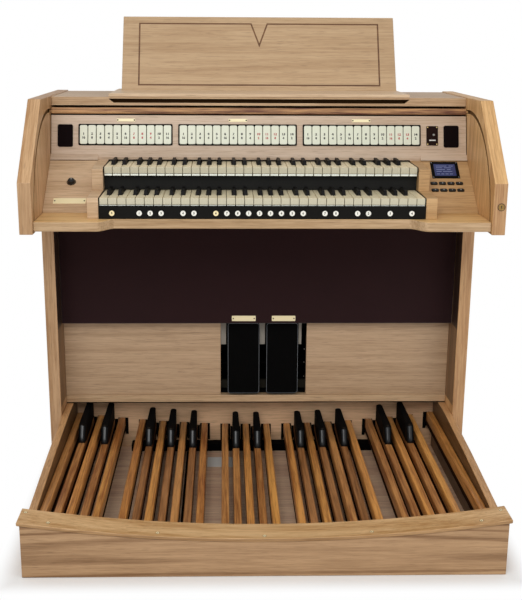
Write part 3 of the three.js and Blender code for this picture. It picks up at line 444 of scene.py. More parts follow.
def join(made, body, slot, stands=(), edge=0.0, angle=edgeAngles["smooth"]):
    # rounds the arrises, evens the shading and hands the piece to its body
    made.data.polygons.foreach_set("use_smooth", [True] * len(made.data.polygons))
    made.data.set_sharp_from_angle(angle=math.radians(angle))
    if edge:
        arris = made.modifiers.new("arris", "BEVEL")
        arris.width = edge * mm
        arris.segments = 2
        arris.limit_method = "ANGLE"
        arris.angle_limit = math.radians(edgeAngles["arris"])
    even = made.modifiers.new("evenShading", "WEIGHTED_NORMAL")
    even.keep_sharp = True
    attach(made, body)
    if stands:
        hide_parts(*stands)
    return made


def asPiece(name, form, coats, body="console", slot=None, stands=(), edge=0.0, angle=edgeAngles["smooth"]):
    mesh = asMesh(name, form)
    for coat in coats if isinstance(coats, list) else [coats]:
        mesh.materials.append(coat)
    return join(placed(name, mesh), body, slot, stands, edge, angle)


def formOf(add, *numbers, **more):
    # a new form with one thing added to it
    form = bmesh.new()
    add(form, *numbers, **more)
    return form


def addBlocks(form, boxes, edge=0.0):
    for low, high in boxes:
        addBlock(form, low, high, edge)


def within(low, high, spot):
    return all(a < s < b for a, s, b in zip(low, spot, high))


def fromNode(node, name, coats, body="console", slot="light_oak", edge=1.5, pick=None, nudge=None):
    # a merged copy of a node's mesh; what lies in the nudge's box moves by its shift
    form = bmesh.new()
    form.from_mesh(nodes[node].data)
    bmesh.ops.remove_doubles(form, verts=form.verts, dist=0.02 * mm)
    bmesh.ops.dissolve_limit(form, angle_limit=math.radians(0.6), verts=form.verts, edges=form.edges,
                             delimit={"NORMAL"})
    for face in form.faces:
        face.material_index = int(pick(face.calc_center_median() / mm, face.normal)) if pick else 0
    for vert in form.verts:
        if nudge and within(*nudge[:2], vert.co / mm):
            vert.co += scaled(*nudge[2])
    return asPiece(name, form, coats, body, slot, (node,), edge)


# geometry trees: named inputs, a shape on every point, made real in one finish
class Grower(Nodes):
    def __init__(self, name, sockets):
        super().__init__(bpy.data.node_groups.new(name, "GeometryNodeTree"), "GeometryNode")
        for socket, kind in (*sockets, ("Finish", "Material")):
            self.tree.interface.new_socket(socket, in_out="INPUT", socket_type="NodeSocket" + kind)
        self.tree.interface.new_socket("Result", in_out="OUTPUT", socket_type="NodeSocketGeometry")
        start = self.tree.nodes.new("NodeGroupInput")
        *self.inputs, self.finish = [Wire(self.tree, start.outputs[n]) for n in range(len(sockets) + 1)]

    def repeated(self, points, shape, **inputs):
        onPoints = self.node("InstanceOnPoints", inputs={"Points": points, "Instance": shape, **inputs})
        real = self.node("RealizeInstances", inputs={"Geometry": onPoints})
        coat = self.node("SetMaterial", inputs={"Geometry": real, "Material": self.finish})
        connect(self.tree, self.tree.nodes.new("NodeGroupOutput").inputs["Result"], coat)
        return self.tree

    def axis(self, **inputs):
        return self.node("ShaderNodeCombineXYZ", inputs=inputs)


def pointTree():
    grower = Grower("setOnPoints", (("Points", "Geometry"), ("Shape", "Object")))
    points, shape = grower.inputs
    return grower.repeated(points, grower.node("ObjectInfo", inputs={"Object": shape}, out="Geometry"))


def slatTree():
    # a slat turned round an axis, once for each step
    grower = Grower("slatsRoundAxis", (
        ("Slat", "Object"), ("Count", "Int"), ("First Angle", "Float"), ("Step", "Float")))
    slat, count, first, step = grower.inputs
    shape = grower.node("ObjectInfo", inputs={"Object": slat}, out="Geometry")
    points = grower.node("Points", inputs={"Count": count})
    return grower.repeated(points, shape, Rotation=grower.axis(X=grower.node("InputIndex") * step + first))


def ribTree():
    # round ribs side by side
    grower = Grower("ribsOnPad", (
        ("Count", "Int"), ("Pitch", "Float"), ("Rib Radius", "Float"), ("Rib Length", "Float")))
    count, pitch, radius, length = grower.inputs
    line = grower.node("CurvePrimitiveLine", inputs={"End": grower.axis(Z=length)})
    ring = grower.node("CurvePrimitiveCircle", inputs={"Resolution": 8, "Radius": radius})
    rib = grower.node("CurveToMesh", inputs={"Curve": line, "Profile Curve": ring, "Fill Caps": True})
    row = grower.node("MeshLine", inputs={"Count": count, "Offset": grower.axis(X=pitch)})
    return grower.repeated(row, rib)


onPointsTree, roundAxisTree, ribsTree = pointTree(), slatTree(), ribTree()


def plainMesh(made):
    graph = bpy.context.evaluated_depsgraph_get()
    return bpy.data.meshes.new_from_object(made.evaluated_get(graph), depsgraph=graph)


def grow(name, tree, values, points=((0, 0, 0),)):
    # runs a tree once and keeps its result as a plain mesh
    mesh = bpy.data.meshes.new(name)
    mesh.from_pydata([tuple(Vector(p) * mm) for p in points], [], [])
    made = placed(name, mesh)
    grower = made.modifiers.new("grow", "NODES")
    grower.node_group = tree
    for socket in tree.interface.items_tree:
        if socket.in_out == "INPUT" and socket.name in values:
            grower[socket.identifier] = values[socket.name]
    plain = plainMesh(made)
    made.modifiers.clear()
    made.data = plain
    plain.name = name
    return made


def growShape(name, tree, socket, form, values, points=((0, 0, 0),)):
    # the shape that a tree repeats leaves the scene once it has been used
    shape = placed(name + "Shape", asMesh(name + "Shape", form))
    made = grow(name, tree, {socket: shape, **values}, points)
    bpy.data.objects.remove(shape)
    return made


def repeatShape(name, form, points, coat, body="console", slot=None, stands=(), angle=edgeAngles["smooth"]):
    made = growShape(name, onPointsTree, "Shape", form, {"Finish": coat}, points)
    return join(made, body, slot, stands, angle=angle)


def addNumber(form, text, size, place, raised=0.12, coat=0, bold=0.03):
    # a plain number lying on the frame's plane, its middle at the origin
    curve = bpy.data.curves.new("number", "FONT")
    curve.body, curve.size = text, size
    curve.align_x, curve.align_y = "CENTER", "CENTER"
    curve.resolution_u = 2
    curve.extrude, curve.offset = raised, size * bold
    holder = placed("number", curve)
    mesh = plainMesh(holder)
    mesh.transform(Matrix.Scale(mm, 4) @ place @ Matrix.Rotation(math.radians(90), 4, "X"))
    before = len(form.faces)
    form.from_mesh(mesh)
    form.faces.ensure_lookup_table()
    for face in form.faces[before:]:
        face.material_index = coat
    bpy.data.objects.remove(holder)
    bpy.data.meshes.remove(mesh)


# case boards: low and high corner of what gets another finish or painted shade, and a shift for what moves
boardLook = {
    "groove": ((585.5, -600.0, 130.0), (594.5, 440.0, 1090.0)),
    "fingerSlot": ((-424.5, 173.8, 1097.2), (424.5, 192.0, 1108.2)),
    "inlet": ((303.5, 487.0, 0.0), (356.5, 600.0, 1400.0)),
    "deskPlateTop": 1122.8,
    "deskShift": ((-411.5, -600.0, 1122.4), (411.5, 600.0, 1400.0), (5.5, 0.0, 0.0)),
    "railDrop": ((-700.0, -600.0, 857.5), (700.0, -130.0, 1400.0), (0.0, 0.0, -2.9)),
    "backIn": ((-700.0, 500.2, -1.0), (700.0, 600.0, 1400.0), (0.0, -0.6, 0.0)),
}


def sideGrain(spot, normal):
    # upright on the faces and fronts, along the slope and along the top; the groove's faces get painted shade
    if within(*boardLook["groove"], (abs(spot.x), spot.y, spot.z)):
        return 3
    if abs(normal.x) > 0.5:
        return 0
    if abs(normal.z) < 0.3:
        return 4
    return 2 if abs(normal.z) > 0.9 else 1


boards = [
    *[("side_" + side.lower(), "sideBoard" + side, [*oakSides[side], grooveBrown, oakFronts[side]], 1.6,
       {"pick": sideGrain}) for side in ("Left", "Right")],
    ("stop_panel", "stopPanel", oakPanel, 0.8, {}),
    ("key_block_left", "keyBlockLeft", oakBlock, 1.0, {}),
    # the right block takes the darker oak: painted shade
    ("key_block_right", "keyBlockRight", oakBlockRightShaded, 1.0, {}),
    ("knee_board", "kneeBoard", oakKnee, 0.8, {}),
    ("case_floor", "caseFloor", oakAcross, 1.5, {}),
    # the top face takes the lighter copy of the oak: painted light
    ("key_table", "keyTable", [oakTable, oakTableTop], 2.0, {"pick": lambda spot, normal: normal.z > 0.9}),
    # the finger slot's faces are dark brown: painted shade
    ("top_board", "topBoard", [oakAcross, slotBrown], 0.8, {
        "pick": lambda spot, normal: within(*boardLook["fingerSlot"], spot)}),
    # the rail's front face takes the darker oak: painted shade
    ("heel_rail", "heelRail", [oakRail, oakRailFront], 2.2, {"pick": lambda spot, normal: normal.y < -0.5}),
    ("music_desk", "musicDesk", [oakDesk, oakPlate], 1.6, {
        "body": "music_desk_body", "nudge": boardLook["deskShift"],
        "pick": lambda spot, normal: spot.z < boardLook["deskPlateTop"]}),
    ("cloth_panel", "clothPanel", cloth, 3.0, {"slot": "speaker_cloth"}),
    ("manual_frame", "manualFrame", railBlack, 0.4, {"slot": "black_plastic", "nudge": boardLook["railDrop"]}),
    ("toe_board", "toeBoard", oakToe, 0.6, {}),
    ("swell_box", "swellBox", boxBlack, 0.6, {"slot": "black_plastic"}),
    ("loudspeaker", "loudspeaker", boxBlack, 0.8, {"slot": "speaker_black"}),
    ("back_panel", "backPanel", oakBack, 0.8, {"nudge": boardLook["backIn"]}),
    ("electronics_chassis", "electronicsChassis", [steel, knobBlack], 0.8, {
        "slot": "steel", "nudge": boardLook["backIn"],
        "pick": lambda spot, normal: within(*boardLook["inlet"], spot)}),
]
for node, name, coats, edge, more in boards:
    fromNode(node, name, coats, edge=edge, **more)

# plain strips: low and high corner, rounding, finish, slot
strips = {
    "slipFace": ((-423.2, 9.0, 877.2), (423.2, 9.28, 915.8), 0.0, slipBlack, "black_plastic"),
    # black felt under the stop panel's apron; its dark line is also painted shadow of the apron
    "keyFelt": ((-423.0, 123.3, 940.9), (423.0, 124.6, 943.6), 0.3, feltBlack, "black_frame"),
    "toeStrip": ((-392.0, 249.0, 11.0), (376.0, 286.9, 33.5), 0.8, boxBlack, "black_plastic"),
    # painted shadow: a black strip on the base where a gap between pedals shows dark
    "baseSlit": ((-218.0, -476.5, 10.7), (-204.0, 248.0, 11.2), 0.0, feltBlack, "black_frame"),
    "dustBoard": ((-562.0, 319.0, 11.4), (562.0, 322.0, 186.9), 0.4, boxBlack, "black_plastic"),
    # painted shadow: a black strip under the case floor's front edge, for the shadow it casts on the toe board
    "floorFelt": ((-584.0, 219.0, 184.4), (584.0, 232.0, 186.9), 0.3, feltBlack, "black_frame"),
    "boxSill": ((-116.5, 262.0, 217.6), (156.5, 276.0, 243.0), 0.8, sillDark, "black_plastic"),
    "ventFilter": ((-140.0, 485.0, 795.0), (140.0, 487.6, 957.0), 0.4, feltBlack, "speaker_cloth"),
}


def strip(name):
    low, high, edge, coat, slot = strips[name]
    asPiece(name, formOf(addBlock, low, high, edge), coat, slot=slot)


# painted shade: thin sheets on the legs' inner faces, darkest in the upper part beside the speaker cloth
legShadeLook = {
    "face": 584.9, "thick": 0.3, "front": 119.5, "cloth": 188.5, "knee": 223.5,
    "low": 209.6, "middle": 447.0, "high": 788.0,
}
form = bmesh.new()
for side in (-1, 1):
    near, far = between(side, legShadeLook["face"], legShadeLook["face"] - legShadeLook["thick"])
    front, middle = legShadeLook["front"], legShadeLook["middle"]
    addBlock(form, (near, front, middle), (far, legShadeLook["cloth"], legShadeLook["high"]))
    addBlock(form, (near, front, legShadeLook["low"]), (far, legShadeLook["knee"], middle), coat=1)
asPiece("legLinings", form, [legPaintedShadow, legPaintedShade], slot="light_oak")
print("boards done")


# manuals: front and top of the naturals, runs and depth of their bodies, rear of the end plates
manualLook = {
    "lower": (-133.2, 875.0, [(1.0, 46.0)], 8.5, 8.0),
    "upper": (-6.7, 939.0, [(1.0, 12.6), (22.4, 46.0)], 10.2, 118.0),
}
keyLook = {
    "count": 36, "pitch": 23.5, "gap": 1.5, "face": 17.0, "faceDeep": 12.6, "line": 0.9, "first": -423.0,
    "length": 345.0, "lip": 13.0, "edge": 0.9, "head": 48.4, "endInset": 1.2, "overlap": 0.4,
    "bodyInset": 0.4, "tailInset": 1.2, "tailShort": 60.0, "faceUnder": 1.3, "lineInset": 0.3,
    "sharpWidth": 11.0, "sharpTop": 8.8, "sharpFront": 50.0, "sharpBack": 128.0,
    "sharpRise": 12.0, "sharpSlope": 6.0, "sharpSide": 1.1, "tailLength": 325.0,
    # where a sharp stands between its naturals, from C on
    "sharpAfter": [-0.13, 0.13, None, -0.17, 0.0, 0.17, None],
}


def sharpPlaces():
    look, made = keyLook, {}
    for n in range(look["count"] - 1):
        shift = look["sharpAfter"][n % 7]
        if shift is not None:
            made[n] = look["first"] + (n + 1 + shift) * look["pitch"]
    return made


def naturals(manual, front, top, bodyRuns, bodyDeep):
    look, sharps, form = keyLook, sharpPlaces(), bmesh.new()
    half = look["sharpWidth"] / 2 + look["sharpSide"]
    rear, step, gap = front + look["length"], front + look["head"], look["gap"] / 2
    lip, face, back = top - look["lip"], top - look["face"], front + look["faceDeep"]
    low, under = lip - bodyDeep, lip + look["overlap"]
    inset, tail, line = look["bodyInset"], look["tailInset"], look["lineInset"]
    for n in range(look["count"]):
        left = look["first"] + n * look["pitch"] + gap
        right = look["first"] + (n + 1) * look["pitch"] - gap
        left += look["endInset"] if n == 0 else 0
        right -= look["endInset"] if n == look["count"] - 1 else 0
        tailLeft = max(left, sharps[n - 1] + half) if n - 1 in sharps else left
        tailRight = min(right, sharps[n] - half) if n in sharps else right
        outline = [(left, front), (right, front)]
        outline += [(right, step), (tailRight, step)] if tailRight < right else []
        outline += [(tailRight, rear), (tailLeft, rear)]
        outline += [(tailLeft, step), (left, step)] if tailLeft > left else []
        addOutline(form, 2, lip, top, outline, look["edge"])
        addBlock(form, (left, front - 0.05, face), (right, back, top - look["faceUnder"]), 0.5)
        # a dark line under each face: the joint, drawn darker as painted shade
        addBlock(form, (left + line, front + 0.5, face - look["line"]), (right - line, back - line, face + 0.1),
                 coat=3)
        for begin, stop in bodyRuns:
            addBlock(form, (left + inset, front + begin, low), (right - inset, front + stop, under), 0.3, 1, 1)
        end = rear - look["tailShort"]
        addBlock(form, (tailLeft + tail, step + 2, low), (tailRight - tail, end, under), coat=1)
    bmesh.ops.recalc_face_normals(form, faces=form.faces)
    # front faces of the tops take the darker cream: painted shade
    for key in form.faces:
        if key.material_index == 0 and key.normal.y < -0.85:
            key.material_index = 2
    node = manual + "_naturals"
    coats = [ivory, ivoryUnder, ivoryFrontShade, slotBrown]
    asPiece(manual + "Naturals", form, coats, node + "_body", "key_ivory", (node,))


def sharps(manual, front, top):
    look, form, node = keyLook, bmesh.new(), manual + "_sharps"
    w, t = look["sharpWidth"] / 2, look["sharpTop"] / 2
    y0, y1, z0, z1 = look["sharpFront"], look["sharpBack"], -6.0, look["sharpRise"]
    slope = y0 + look["sharpSlope"]
    rings = [[(-w, y0, z0), (w, y0, z0), (w, y1, z0), (-w, y1, z0)],
             [(-t, slope, z1), (t, slope, z1), (t, y1, z1), (-t, y1, z1)]]
    addRings(form, rings, 0, 1.5, 3)
    addBlock(form, (-w + 1, y1 - 8, -13), (w - 1, look["tailLength"], -2), 0.5)
    points = [(x, front, top) for x in sharpPlaces().values()]
    repeatShape(manual + "Sharps", form, points, ebony, node + "_body", "key_black", (node,))


for manual, numbers in manualLook.items():
    naturals(manual, *numbers[:4])
for manual, (front, top, *_) in manualLook.items():
    sharps(manual, front, top)
strip("slipFace")

# thin black plates beside the end keys: painted shadow for the gaps there
endShadowPlates = {"inner": 421.7, "outer": 423.9, "above": 0.6, "below": 15.0}
form = bmesh.new()
for side in (-1, 1):
    for front, top, _, _, rear in manualLook.values():
        near, far = between(side, endShadowPlates["inner"], endShadowPlates["outer"])
        low, high = top - endShadowPlates["below"], top + endShadowPlates["above"]
        outline = [(front - 1.5, low), (rear, low), (rear, high), (front + 2, high), (front - 1.5, top - 2)]
        addOutline(form, 0, near, far, outline, 0.3, 1)
asPiece("keyEndPlates", form, frameBlack, slot="black_frame")
strip("keyFelt")
print("manuals done")


# thumb pistons on the lower rail
pistonLook = {
    "face": -137.7, "height": 836.7, "first": -389.2, "step": 28.2, "radius": 5.7, "rim": 7.0, "proud": 3.8,
    "ring": 8.7, "number": 8.0, "gold": [0, 6],
    "places": [0, 2.5, 3.5, 4.5, 6.5, 7.5, 9.5, 10.5, 11.5, 12.5, 13.5, 14.5, 15.5, 16.5, 17.5, 19.5,
               20.5, 22.5, 23.5, 25.5, 27.5],
}


def pistons():
    look, upright = pistonLook, Matrix.Identity(4)
    spots = [(look["first"] + look["step"] * n, look["face"], look["height"]) for n in look["places"]]
    r, rim, proud, ring = look["radius"], look["rim"], look["proud"], look["ring"]
    button = [(r - 0.6, -10), (r - 0.1, -9.5), (r, proud - 1.1), (rim, proud - 1.0), (rim, proud - 0.4),
              (rim - 0.5, proud), (rim - 1.6, proud - 0.15), (r * 0.5, proud - 0.15)]
    plain = [spot for n, spot in enumerate(spots) if n not in look["gold"]]
    gold = [spots[n] for n in look["gold"]]
    for name, coat, picked, stands in (("thumbPistons", pistonCream, plain, ("thumb_pistons",)),
                                       ("goldPistons", pistonGold, gold, ())):
        form = formOf(addTurned, button, upright)
        repeatShape(name, form, picked, coat, "thumb_pistons_body", "piston_cream", stands)
    loop = [(rim + 0.2, 0.0), (rim + 0.2, 0.7), (ring - 0.3, 0.9), (ring, 0.4), (ring, -0.5), (rim + 0.2, -0.5)]
    repeatShape("pistonRings", formOf(addHollow, loop, upright), spots, frameBlack, slot="black_frame")
    form = bmesh.new()
    for n, (x, y, z) in enumerate(spots):
        place = Matrix.Translation((x, y - proud + 0.1, z))
        addNumber(form, str((n - 1) % 8 + 1 if n else 0), look["number"], place, 0.1)
    asPiece("pistonNumbers", form, markDark, "thumb_pistons_body", angle=60)


pistons()

# stop tabs
tabLook = {
    "foot": (124.5, 950.3), "lean": 16.45, "middle": 63.1, "height": 53.4, "pitch": 23.4, "gap": 1.8,
    "proud": 3.0, "crease": 0.9, "edge": 2.0, "corner": 4.6, "frame": 3.5,
    "groups": [(-504.5, 11), (-225.7, 14), (123.7, 14)], "red": [(6, 9), (9, 12), (10, 13)],
    "feet": ["16", "8", "8", "4", "2", "16", "8", "8", "4", "2", "16", "8", "4", "2"],
}
controlLook = {"foot": (-44.0, 821.3), "lean": 52.5}
stopPlane = tilted(0, tabLook["foot"], tabLook["lean"])
controlPlane = tilted(0, controlLook["foot"], controlLook["lean"])


def stopTabs():
    look = tabLook
    half, wide, proud = look["height"] / 2, (look["pitch"] - look["gap"]) / 2, look["proud"]
    middle, crease, pitch, edge = look["middle"], look["crease"], look["pitch"], look["edge"]
    spots, marks, frames = [], bmesh.new(), bmesh.new()
    for (start, count), (redFrom, redTo) in zip(look["groups"], look["red"]):
        for n in range(count):
            x = start + (n + 0.5) * pitch
            spots.append(stopPlane @ Vector((x, 0, middle)))
            for up, text, size in ((2.6, str(n + 1), 10.0), (-9.0, look["feet"][n], 8.6)):
                place = moved(stopPlane, x, middle + up, proud - crease + abs(up) / half * crease)
                addNumber(marks, text, size, place, 0.1, int(redFrom <= n < redTo), 0.055)
        place = moved(stopPlane, start + count * pitch / 2, middle)
        width, height = count * pitch + 2 * look["frame"] - 1.5, look["height"] + 2 * look["frame"] - 0.4
        addRim(frames, place, width, height, 3.4, 1.6, look["frame"], 2.2)
        addPlate(frames, place, width - 1, height - 1, 0.5, 3.0, edge=0.2)
    form, loops = bmesh.new(), []
    for inset, back in ((0.0, None), (0.0, edge * 0.45), (edge * 0.3, edge * 0.12), (edge * 0.75, 0.0)):
        box = roundedBox(2 * (wide - inset), 2 * (half - inset), look["corner"] - inset, 3)
        box = box[:8] + [(-(wide - inset), 0.0)] + box[8:] + [(wide - inset, 0.0)]
        depths = [12 if back is None else -(proud - back - crease * (1 - abs(z) / half)) for x, z in box]
        loops.append([form.verts.new(scaled(x, y, z)) for (x, z), y in zip(box, depths)])
    form.faces.new(loops[0])
    for low, high in zip(loops, loops[1:]):
        for n in range(len(low)):
            form.faces.new((low[n], low[(n + 1) % len(low)], high[(n + 1) % len(low)], high[n]))
    form.faces.new([loops[-1][-1]] + loops[-1][:9])
    form.faces.new(loops[-1][8:])
    lean = Matrix.Rotation(math.radians(-look["lean"]), 4, "X")
    bmesh.ops.transform(form, matrix=lean, verts=form.verts)
    repeatShape("stopTabs", form, spots, tabCream, "stop_tabs_body", "tab_cream", ("stop_tabs",), angle=24)
    asPiece("tabNumbers", marks, [markDark, markRed], "stop_tabs_body", angle=60)
    asPiece("tabFrames", frames, frameBlack, slot="black_frame", edge=0.5)


stopTabs()

panelFoot = {
    "apronHalf": 452.6, "apronLow": 941.6, "apronTop": 951.0, "back": 135.0, "reveal": 1.5,
    "end": 584.6, "skirt": 12.0, "blend": 9.0,
}


def stopPanelFoot():
    look, (y, z) = panelFoot, tabLook["foot"]
    half, end, blend = look["apronHalf"], look["end"], look["blend"]
    low, top, back = look["apronLow"], look["apronTop"], look["back"]
    drop = math.tan(math.radians(tabLook["lean"])) * (z - low)
    apron = [(y - drop + 2.5, low), (y + 0.02, top), (back, top), (back, low)]
    asPiece("stopPanelApron", formOf(addOutline, 0, -half, half, apron, 0.5), oakPanel, slot="light_oak")
    form = bmesh.new()
    # painted shadow: black strips at the panel's ends and foot, and a dark brown strip under the skirt
    for side in (-1, 1):
        near, far = between(side, end - look["reveal"], end)
        addBlock(form, (near, -0.16, 0.0), (far, 1.0, 119.6))
    addBlock(form, (-end, -0.14, 118.2), (end, 1.0, 119.9))
    control = Matrix.Rotation(math.radians(-(controlLook["lean"] - tabLook["lean"])), 4, "X")
    foot, line = [control @ Vector((0, -0.3, -down)) for down in (look["skirt"], look["skirt"] + 2.2)]
    shadow = [(line.y, line.z), (foot.y + 0.2, foot.z + 0.6), (foot.y + 4, foot.z), (line.y + 4, line.z)]
    skirt = [(foot.y, foot.z), (-0.1, blend), (2.0, blend), (2.0, -1.0), (foot.y + 3, foot.z - 0.2)]
    for side in (-1, 1):
        near, far = between(side, half, end)
        addOutline(form, 0, near, far, shadow, coat=1)
        addOutline(form, 0, near, far, skirt, coat=2)
    bmesh.ops.transform(form, matrix=inMetres(stopPlane), verts=form.verts)
    asPiece("panelReveals", form, [feltBlack, slotBrown, oakPanel])


stopPanelFoot()
print("pistons and tabs done")


# pedals
# shade: height of the painted shade along the bottom of each pedal's sides
pedalLook = {
    "width": 20.0, "heel": -469.5, "toe": 285.0, "top": 91.0, "curve": 39.0, "reach": 552.5, "woodDrop": 8.0,
    "low": 48.0, "shade": 16.0, "edge": 3.4, "nose": 6.0, "tip": 9.0, "tongue": 6.5,
    "capWidth": 23.0, "capRear": 17.6, "capColumn": 19.0, "capRise": 41.0,
    "capFront": 100.0, "capSlope": 22.0, "capSweep": 42.0, "capLift": 7.0,
}
pedalPlaces = {}
for name in nodes:
    if name.startswith("pedal_") and name[6:8].isdigit():
        low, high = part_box(name)
        pedalPlaces[name] = (low[0] + high[0]) / 2 / mm


def rise(x):
    return pedalLook["curve"] * (x / pedalLook["reach"]) ** 2


def pedalCap(form, x, woodTop, capTop):
    # a glossy front that leans back and a matte top, both arched across
    look = pedalLook

    def ring(y, half, high, crown):
        arch = [math.radians(180 * n / 8) for n in range(9)]
        return [(x - half, y, woodTop - 1), (x + half, y, woodTop - 1),
                *[(x + half * math.cos(a), y, high - crown * (1 - math.sin(a))) for a in arch]]
    bend = (x / look["reach"]) ** 2
    column, wide, rear = look["capColumn"] / 2, look["capWidth"] / 2, look["capRear"] / 2
    y0 = look["capFront"] - look["capSweep"] * bend
    y1, y2, foot = y0 + look["capSlope"], look["toe"], woodTop + 11
    top, up = capTop + look["capLift"] * bend, capTop - woodTop - 14.0
    gloss = [ring(y0, column - 1.5, woodTop + 4.0, 4.0), ring(y0 + 2.0, column, foot, 9.0)]
    for t in (0.25, 0.5, 0.75, 1.0):
        half = column + (wide - column - 0.4) * t ** 2
        gloss.append(ring(y0 + 2.0 + (y1 - y0 - 2.0) * t, half, foot + up * t, 9.5))
    gloss += [ring(y1 + 3, wide - 0.1, capTop - 0.8, 7.5), ring(y1 + 8, wide, capTop + 0.4, 6.0)]
    matte = [gloss[-1], ring(y1 + 18, wide - 0.1, capTop + 1.1, 4.6),
             ring((y1 + y2) / 2, (wide + rear) / 2, (capTop + top) / 2 + 0.8, 4.2),
             ring(y2 - 14, rear + 0.2, top + 0.4, 4.0), ring(y2 - 4, rear, top - 0.8, 4.4),
             ring(y2, rear - 2.2, top - 4.5, 5.0)]
    addRings(form, gloss)
    addRings(form, matte, 1)


def pedalBody(form, x, low, top):
    # rounded arrises, a tip rounded in plan and a tongue that runs into the toe board; the lowest part of the
    # sides is painted shade
    look = pedalLook
    half, heel, toe, tip = look["width"] / 2, look["heel"], look["toe"], look["tip"]
    shade, tongue = low + look["shade"], look["tongue"]

    def ring(y, half, high):
        bevel = min(look["edge"], half - 0.4)
        right = [(x + half - bevel + bevel * math.cos(a), y, high - bevel + bevel * math.sin(a))
                 for a in [math.radians(30 * n) for n in range(4)]]
        left = [(2 * x - across, y, up) for across, y, up in reversed(right)]
        return [(x - half, y, low), (x + half, y, low), (x + half, y, shade), *right, *left, (x - half, y, shade)]
    rings = [ring(heel, half - 0.8, top - 0.8), ring(heel + 0.8, half, top), ring(toe - tip, half, top)]
    for n in range(1, 6):
        a = math.radians(18 * n)
        high = top - look["nose"] * (1 - math.cos(a))
        rings.append(ring(toe - tip + tip * math.sin(a), half - tip + tip * math.cos(a), high))
    addRings(form, rings)
    addBlock(form, (x - tongue, toe - tip - 2, low), (x + tongue, toe + 30, top - 8), 0.6)
    # the lowest part of the sides takes the near-black coat: painted shade
    for face in form.faces:
        if face.calc_center_median().z < shade * mm:
            face.material_index = 1


for name, x in sorted(pedalPlaces.items()):
    isSharp, number, lift = name.endswith("s"), int(name[6:8]), rise(x)
    top = pedalLook["top"] - (pedalLook["woodDrop"] if isSharp else 0) + lift
    wood = pedalTones[2 + number % 2 if isSharp else number * 5 % 3]
    form = formOf(pedalBody, x, pedalLook["low"] + lift, top)
    asPiece("wood_" + name, form, [wood, pedalSideShade], name + "_body", "pedal_oak", (name,))
    if isSharp:
        form = formOf(pedalCap, x, top, pedalLook["top"] + pedalLook["capRise"] + lift)
        across = form.verts.layers.float.new("across")
        for vert in form.verts:
            vert[across] = (vert.co.x / mm - x) / (pedalLook["capWidth"] / 2)
        asPiece("cap_" + name, form, [capBlack, capMatte], name + "_body", "black_plastic", angle=40)


# pedalboard's frame: heel board, cheeks, base boards and the stepped rest
frameLook = {
    "boardFront": -497.5, "boardBack": -477.5, "half": 593.0, "boardTop": 92.5, "cheekIn": 563.4,
    "cheekOut": 584.4, "baseTop": 10.9, "baseEnd": 311.0, "seam": 70.4, "seamGap": 1.2,
    "rest": (-461.0, -449.0, 47.4), "restHalf": 13.0, "sheet": (-103.0, 164.0, 98.0, 73.0),
    "cheekTops": [(-487.5, 136.6), (-420.2, 136.6), (-420.2, 143.0), (-140.0, 168.0), (118.0, 184.0),
                  (311.0, 184.0)],
}


def pedalFrame():
    look = frameLook
    half, inner, base, tops = look["half"], look["cheekIn"], look["baseTop"], look["cheekTops"]
    gap, wide = look["seamGap"] / 2, look["restHalf"]

    def oakPiece(name, form, coats):
        asPiece(name, form, coats, slot="light_oak", stands=("pedal_frame",))
    across = [-half + 2 * half * n / 32 for n in range(33)]
    arch = [(-half, 0), *[(x, look["boardTop"] + rise(x)) for x in across], (half, 0)]
    oakPiece("heelBoard", formOf(addOutline, 1, look["boardFront"], look["boardBack"], arch, 1.6), oakHeel)
    for name, side in (("cheekLeft", -1), ("cheekRight", 1)):
        near, far = between(side, inner, look["cheekOut"])
        form = formOf(addOutline, 0, near, far, [(tops[0][0], 0.0), *tops, (tops[-1][0], 0.0)], 2.4, 3)
        bmesh.ops.recalc_face_normals(form, faces=form.faces)
        # inner faces take the darker oak: painted shade
        for face in form.faces:
            face.material_index = int(face.normal.x * side < -0.95)
        oakPiece(name, form, [oakCheek, cheekInnerShade])
    runs = ((look["boardBack"], look["seam"] - gap), (look["seam"] + gap, look["baseEnd"]))
    boxes = [((-inner - 2, start, 0), (inner + 2, stop, base)) for start, stop in runs]
    oakPiece("pedalBase", formOf(addBlocks, boxes, 0.8), baseWood)
    front, back, top = look["rest"]
    boxes = [((x - wide, front, base - 1), (x + wide, back, top + rise(x))) for x in pedalPlaces.values()]
    oakPiece("hingeRest", formOf(addBlocks, boxes, 0.5), baseWood)
    strip("toeStrip")
    x, y, wide, deep = look["sheet"]
    place = Matrix.Translation((x, y, base)) @ Matrix.Rotation(math.radians(-90), 4, "X")
    asPiece("bareSheet", formOf(addPlate, place, wide, deep, 0.5, 1.5, 0.1, 0.15), sheetGrey)
    strip("baseSlit")


pedalFrame()
print("pedals done")


def screws(name, points, radius, height, lean, coat):
    # domed screw heads
    outline = [(radius, -0.3), (radius, height * 0.35), (radius * 0.82, height * 0.8), (radius * 0.5, height)]
    place = Matrix.Rotation(math.radians(lean), 4, "X")
    repeatShape(name, formOf(addTurned, outline, place, 16), points, coat)


heelScrews = {
    "places": [-587.5, -526.5, -262, -2, 260, 528, 585.5], "fromFront": [60, 22, 18, 16, 18, 20, 60],
    "cup": 4.0, "radius": 2.0, "railTop": 102.0, "railFront": -500.5,
}


